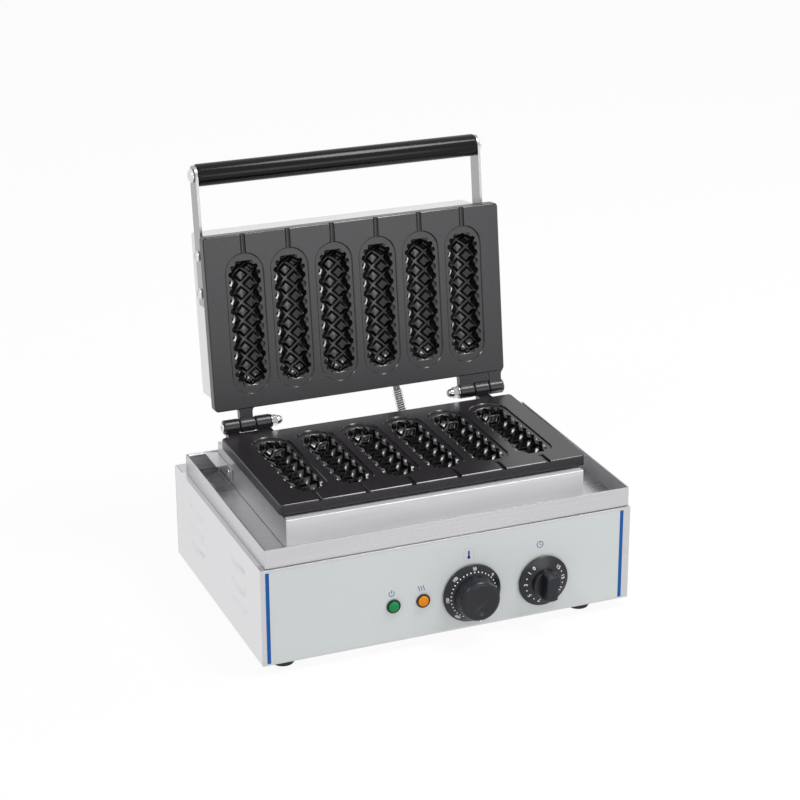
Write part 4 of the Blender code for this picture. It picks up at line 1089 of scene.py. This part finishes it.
def cone_point(knob_place, cone, radius, turn, lift):
    """A place on a knob's cone face, by radius and turn, lifted off it."""
    wide, narrow = cone
    share = (wide[0] - radius) / (wide[0] - narrow[0])
    depth = wide[1] + (narrow[1] - wide[1]) * share
    slope = Vector((wide[0] - narrow[0], wide[1] - narrow[1])).normalized()
    out = radius + lift * slope.y
    return (
        knob_place[0] + out * math.cos(turn),
        depth - lift * slope.x,
        knob_place[1] + out * math.sin(turn),
    )


def number_mesh(words, size):
    """Plain numbers as a thin mesh about their own middle."""
    curve = bpy.data.curves.new("number", "FONT")
    curve.body = words
    curve.size = size
    curve.align_x = "CENTER"
    curve.extrude = 0.00004
    curve.offset = size * 0.014
    curve.resolution_u = 3
    made = shown("number", curve)
    data = evaluated(made)
    bpy.data.objects.remove(made)
    mesh = bmesh.new()
    mesh.from_mesh(data)
    bpy.data.meshes.remove(data)
    bmesh.ops.triangulate(mesh, faces=mesh.faces)
    return mesh


def dial_marks(knob_place, cone, numbers, number_radius, size, dots, dot_radius):
    """Numbers and dots on a knob's cone face. Numbers read with their tops outward."""
    low = 0.00003
    meshes = []
    for words, turn in numbers:
        mesh = number_mesh(words, size)
        for vertex in mesh.verts:
            across, up, lift = vertex.co
            angle = math.radians(turn) - across / number_radius
            vertex.co = cone_point(knob_place, cone, number_radius + up, angle, lift + low)
        meshes.append(mesh)
    for radius, turn in dots:
        middle = math.radians(turn)
        rings = [
            [
                cone_point(knob_place, cone, radius + b, middle + a / radius, lift)
                for a, b in circle(dot_radius, 12)
            ]
            for lift in (0, 0.00007)
        ]
        meshes.append(lofted(rings))
    return together(meshes)


def thermostat_knob():
    """A round grip with a thumb dimple, on a skirt with a ring of dots and numbers."""
    cone = 0.0045
    hub = knob_back - skirt_thickness - cone - 0.0165
    profile = knob_profile(0.0290, 0.0205, cone, hub, 0.0200, 0.0036)
    edges = profile[3:5]
    profile += [(0.0150, hub + 0.00005), (0.0130, hub + 0.00015)]
    ball = bmesh.new()
    bmesh.ops.create_uvsphere(ball, u_segments=48, v_segments=32, radius=0.0120)
    x, z = thermostat_place
    bmesh.ops.translate(ball, verts=ball.verts, vec=(x + 0.0006, hub - 0.0107, z - 0.0086))
    dial = boolean(turned(profile, "y", thermostat_place, 128), [ball])
    body = "thermostat_knob"
    instead("thermostat_knob", "thermostat_dial", dial, dial_plastic)
    turns = (40, 87, 135, 185, 233, 281, 329)
    numbers = [(str(50 * index), turn) for index, turn in enumerate(turns)]
    dots = [(0.0229, 1.6 + 9.63 * index) for index in range(35)]
    marks = dial_marks(thermostat_place, edges, numbers, 0.0246, 0.0036, dots, 0.00062)
    piece("thermostat_marks", marks, body, "knob_plastic", mark_white)
    notch = rounded(x - 0.0008, x + 0.0008, z - 0.0202, z - 0.0182, 0.0003, 3)
    notch = prism(notch, "y", hub + 0.0009, hub + 0.0034)
    piece("thermostat_pointer", notch, body, "knob_plastic", mark_white)


def timer_knob():
    """A flat bar grip on a hub, on a skirt with numbers."""
    cone = 0.0034
    hub = knob_back - skirt_thickness - cone - 0.0060
    face = hub - 0.0110
    x, z = timer_place
    profile = knob_profile(0.02525, 0.0140, cone, hub, 0.0138, 0.0012)
    rings = []
    for height, share in (
        (hub + 0.0008, 1.0),
        (face + 0.0014, 0.94),
        (face + 0.0005, 0.92),
        (face + 0.0001, 0.885),
        (face, 0.84),
    ):
        half = 0.00575 * share
        reach = 0.0145 - 0.0220 * (1 - share)
        points = []
        for side in (1, -1):
            for step in range(13):
                across = half * (1 - step / 6) * side
                rise = math.sqrt(max(reach**2 - across**2, 0)) * side
                points.append((x + across, height, z + rise))
        rings.append(points)
    mesh = together([turned(profile, "y", timer_place, 128), lofted(rings)])
    instead("timer_knob", "timer_dial", mesh, dial_plastic)
    numbers = []
    dots = []
    for index in range(16):
        turn = 125 + 18.5 * index
        if index == 0 or index % 2:
            numbers.append((str(index), turn))
        else:
            dots.append((0.0192, turn))
    marks = dial_marks(timer_place, profile[3:5], numbers, 0.0176, 0.0048, dots, 0.00068)
    piece("timer_marks", marks, "timer_knob", "knob_plastic", mark_white)


thermostat_knob()
timer_knob()


# Conduit and cables

conduit_x = 0.0560
conduit_y = housing_back - 0.0128
shell_back = plate_back - 0.0034
conduit_head_x = 0.0500
conduit_head_z = hinge_z + 0.0325
conduit_radius = 0.0056
conduit_wire = 0.00078
conduit_pitch = 0.0023
conduit_curls = 20
conduit_curl_points = 16
cable_radius = 0.0017
cable_spread = 0.00188
conduit_foot = Vector((conduit_x, conduit_y, housing_top))
conduit_head = opened @ Vector((0, shell_back, conduit_head_z))
conduit_head.x = conduit_head_x


def conduit_line(share):
    """The conduit's centre line, from the ledge to the lid's rear wall as it stands open."""
    reach = (conduit_head.z - conduit_foot.z) / 3
    leaves = Vector((0, math.cos(open_angle), -math.sin(open_angle)))
    above = conduit_foot + Vector((0, 0, reach))
    below = conduit_head + leaves * reach
    rest = 1 - share
    return (
        conduit_foot * rest**3
        + above * 3 * rest**2 * share
        + below * 3 * rest * share**2
        + conduit_head * share**3
    )


line_steps = 60
line_points = [conduit_line(step / line_steps) for step in range(line_steps + 1)]
line_lengths = [0]
for near, far in zip(line_points, line_points[1:]):
    line_lengths.append(line_lengths[-1] + (far - near).length)


def beside(length, right, back):
    """A point beside the centre line, square to it, at a length along it."""
    inside = min(max(length, 0), line_lengths[-1])
    index = 0
    while index < line_steps - 1 and line_lengths[index + 1] < inside:
        index += 1
    span = line_lengths[index + 1] - line_lengths[index]
    near, far = line_points[index : index + 2]
    direction = (far - near).normalized()
    point = near + (far - near) * ((inside - line_lengths[index]) / span)
    point += direction * (length - inside)
    rearward = direction.cross(Vector((1, 0, 0))).normalized()
    across = rearward.cross(direction).normalized()
    return point + across * right + rearward * back


def tube(route, radius, sides):
    """A round skin along a route of points."""
    rings = []
    side = Vector((1, 0, 0))
    for index, point in enumerate(route):
        before = route[max(index - 1, 0)]
        after = route[min(index + 1, len(route) - 1)]
        way = (after - before).normalized()
        side = (side - way * side.dot(way)).normalized()
        up = way.cross(side)
        rings.append([tuple(point + side * a + up * b) for a, b in circle(radius, sides)])
    return lofted(rings)


def conduit():
    """The coiled conduit and its cables, bending between the housing and the lid."""
    turn_radius = conduit_radius - conduit_wire
    start = clearance + conduit_wire
    route = []
    for step in range(conduit_curls * conduit_curl_points + 1):
        turn = math.tau * step / conduit_curl_points
        length = start + conduit_pitch * step / conduit_curl_points
        route.append(beside(length, turn_radius * math.cos(turn), turn_radius * math.sin(turn)))
    coil = linked("conduit_coil", tube(route, conduit_wire, 8))
    tail = 0.0200
    total = tail + line_lengths[-1] + 0.0085
    strands = [(coil, chrome_wire, "bright_steel", "conduit_spring")]
    for name, side in (("left", -1), ("right", 1)):
        strand = [beside(total * step / 40 - tail, side * cable_spread, 0) for step in range(41)]
        cable = linked(f"cable_{name}", tube(strand, cable_radius, 16))
        strands.append((cable, cable_jacket, "cable_grey", f"lid_cable_{name}"))
    for made, finish, slot, node in strands:
        made.data.materials.append(finish)
        smoothed(made, 60)
        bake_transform(made)
        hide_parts(node)


conduit()


def conduit_ends():
    """The ferrule on the ledge and the grommet in the lid's rear wall."""
    bore = conduit_radius + 0.0006
    rim = bore + 0.0012
    waist = rim - 0.0003
    lip = rim - 0.0001
    profile = [(bore, 0), (rim - 0.0002, 0), (rim, 0.0002), (rim, 0.0022), (waist, 0.0025)]
    profile += [(waist, 0.0066), (lip, 0.0069), (lip, 0.0076), (rim - 0.0005, 0.0080)]
    profile.append((bore, 0.0080))
    profile = raised(profile, housing_top + clearance)
    ferrule = turned(profile, "z", (conduit_x, conduit_y), 56, True)
    instead("conduit_ferrule", "ferrule", ferrule, bright_steel)
    bore = 0.0039
    neck = 0.0054
    profile = [(bore, -0.0029), (neck, -0.0029), (neck, 0), (0.0069, 0), (0.0070, 0.0002)]
    profile += [(0.0069, 0.0010), (0.0062, 0.0015), (0.0044, 0.0016), (bore, 0.0013)]
    profile = raised(profile, shell_back + clearance)
    grommet = turned(profile, "y", (conduit_head_x, conduit_head_z), 56, True)
    instead("lid_grommet", "grommet", grommet, rubber, open_it=True)


conduit_ends()


# Gland and feet

def gland():
    """The inlet gland: a flange, and a ribbed dome nut round its bore."""
    place = (half_width - 0.045, 0.034)
    low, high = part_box("cable_gland")
    outside = housing_back + clearance
    bore = 0.0042
    neck = 0.0080
    flange = 0.0108
    nut = 0.0099
    rib = 0.0007
    profile = [(bore, low[1] - outside), (neck, low[1] - outside), (neck, 0), (0.0104, 0)]
    profile += [(flange, 0.0004), (flange, 0.0034), (0.0100, 0.0038), (0.0094, 0.0042)]
    profile += [(0.0100, 0.0050), (nut, 0.0082), (0.0086, 0.0108), (0.0066, 0.0120)]
    profile += [(0.0046, 0.0118), (bore, 0.0112)]
    meshes = [turned(raised(profile, outside), "y", place, 64, True)]
    ridge = raised([(0.0004, 0.0050), (rib, 0.0054), (rib, 0.0078), (0.0002, 0.0084)], outside)
    meshes += [turned(ridge, "y", spot, 10) for spot in circle(nut, 18, place)]
    instead("cable_gland", "inlet_gland", together(meshes), dial_plastic)


gland()


def feet():
    """Rubber feet with a soft lower edge and a groove under the flange."""
    side = 0.0110
    shank = 0.0030
    for place in ("front_left", "front_right", "rear_left", "rear_right"):
        node = f"foot_{place}"
        low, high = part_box(node)
        centre = ((low[0] + high[0]) / 2, (low[1] + high[1]) / 2)
        barb = high[2] - 0.0050
        profile = [(0.0050, 0.0006), (0.0060, 0), (0.0085, 0), (0.0100, 0.0006), (0.0108, 0.0022)]
        profile += [(side, 0.0040), (side, 0.0070), (0.0106, 0.0076), (0.0106, 0.0082)]
        profile += [(side, 0.0088), (0.0108, 0.0097), (shank, 0.0097), (shank, barb)]
        profile += [(0.0042, barb), (0.0015, high[2])]
        pad = turned(profile, "z", centre, 56)
        instead(node, f"{node}_pad", pad, rubber, angle=40)


feet()


# Nodes inside, which keep their own shape

for finish, names in (
    (dark_steel, ("lower_heating_element", "upper_heating_element")),
    (dark_steel, ("lower_clamp_plate", "upper_clamp_plate")),
    (mineral_board, ("lower_insulation_board", "upper_insulation_board")),
    (bright_steel, ("thermostat_shaft", "thermostat_bulb", "timer_shaft")),
    (terminal_white, ("thermostat_body", "timer_body", "terminal_block")),
):
    for name in names:
        for material_slot in nodes[name].material_slots:
            material_slot.material = finish


# Stage

def seen_and_mirrored(made):
    """One for what the camera, a reflection or glass sees, and nought for light."""
    path = add(made, "ShaderNodeLightPath")
    value = path.outputs["Is Camera Ray"]
    for way in ("Is Glossy Ray", "Is Transmission Ray"):
        joined = add(made, "ShaderNodeMath")
        joined.operation = "ADD"
        joined.use_clamp = True
        wire(made, value, joined.inputs[0])
        wire(made, path.outputs[way], joined.inputs[1])
        value = joined.outputs[0]
    return value


def whitened(made, plain, white, share, output):
    """Mixes a plain shader with a white one, by a share, into a material's or world's output."""
    mixed = add(made, "ShaderNodeMixShader")
    wire(made, share, mixed.inputs["Fac"])
    wire(made, made.node_tree.nodes[plain].outputs[0], mixed.inputs[1])
    wire(made, white.outputs[0], mixed.inputs[2])
    wire(made, mixed.outputs["Shader"], made.node_tree.nodes[output].inputs["Surface"])


plain_white = (1, 1, 1, 1)
floor = linked("floor", block((-5, -5, -0.02), (5, 9, 0)))
paper = grained("paper", (0.86, 0.86, 0.86), 0.9, 60, 0.02, 0.0001, 0.004)
glow = add(paper, "ShaderNodeEmission", {"Color": plain_white})
share = add(paper, "ShaderNodeMath")
share.operation = "MULTIPLY"
share.inputs[1].default_value = 0.93
wire(paper, seen_and_mirrored(paper), share.inputs[0])
whitened(paper, "Principled BSDF", glow, share.outputs[0], "Material Output")
floor.data.materials.append(paper)
floor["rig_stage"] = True

# The camera, at the photograph's viewing angle
camera = bpy.data.cameras.new("camera")
camera.lens = 102.46
camera.shift_x = -0.0244
camera_object = shown("camera", camera)
camera_object.location = (-0.75540, -1.88498, 0.99539)
camera_object.rotation_euler = (math.pi / 2 - 0.378, 0, -0.394)
bpy.context.scene.camera = camera_object


def lamp(name, place, size, power):
    """A square soft lamp that shines on the object, and that the camera doesn't see."""
    light = bpy.data.lights.new(name, "AREA")
    light.shape = "SQUARE"
    light.size = size
    light.energy = power
    made = shown(name, light)
    made.location = place
    made.rotation_euler = (lamp_aim - Vector(place)).to_track_quat("-Z", "Y").to_euler()
    made.visible_camera = False


lamp_aim = Vector((0, 0, 0.15))
lamp("overhead", (0.75, -0.55, 2.10), 0.75, 27)
lamp("left", (-1.35, -0.80, 1.70), 0.4, 9)
lamp("right", (2.0, 0.05, 0.85), 0.5, 8)
lamp("front", (0.62, -1.9, 0.28), 0.9, 6)

world = bpy.data.worlds.new("studio")
bpy.context.scene.world = world
world.use_nodes = True
put(world.node_tree.nodes["Background"].inputs, {"Color": plain_white, "Strength": 0.5})
bright = add(world, "ShaderNodeBackground", {"Color": plain_white, "Strength": 1})
whitened(world, "Background", bright, seen_and_mirrored(world), "World Output")
bpy.context.scene.view_settings.view_transform = "Standard"

low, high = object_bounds()
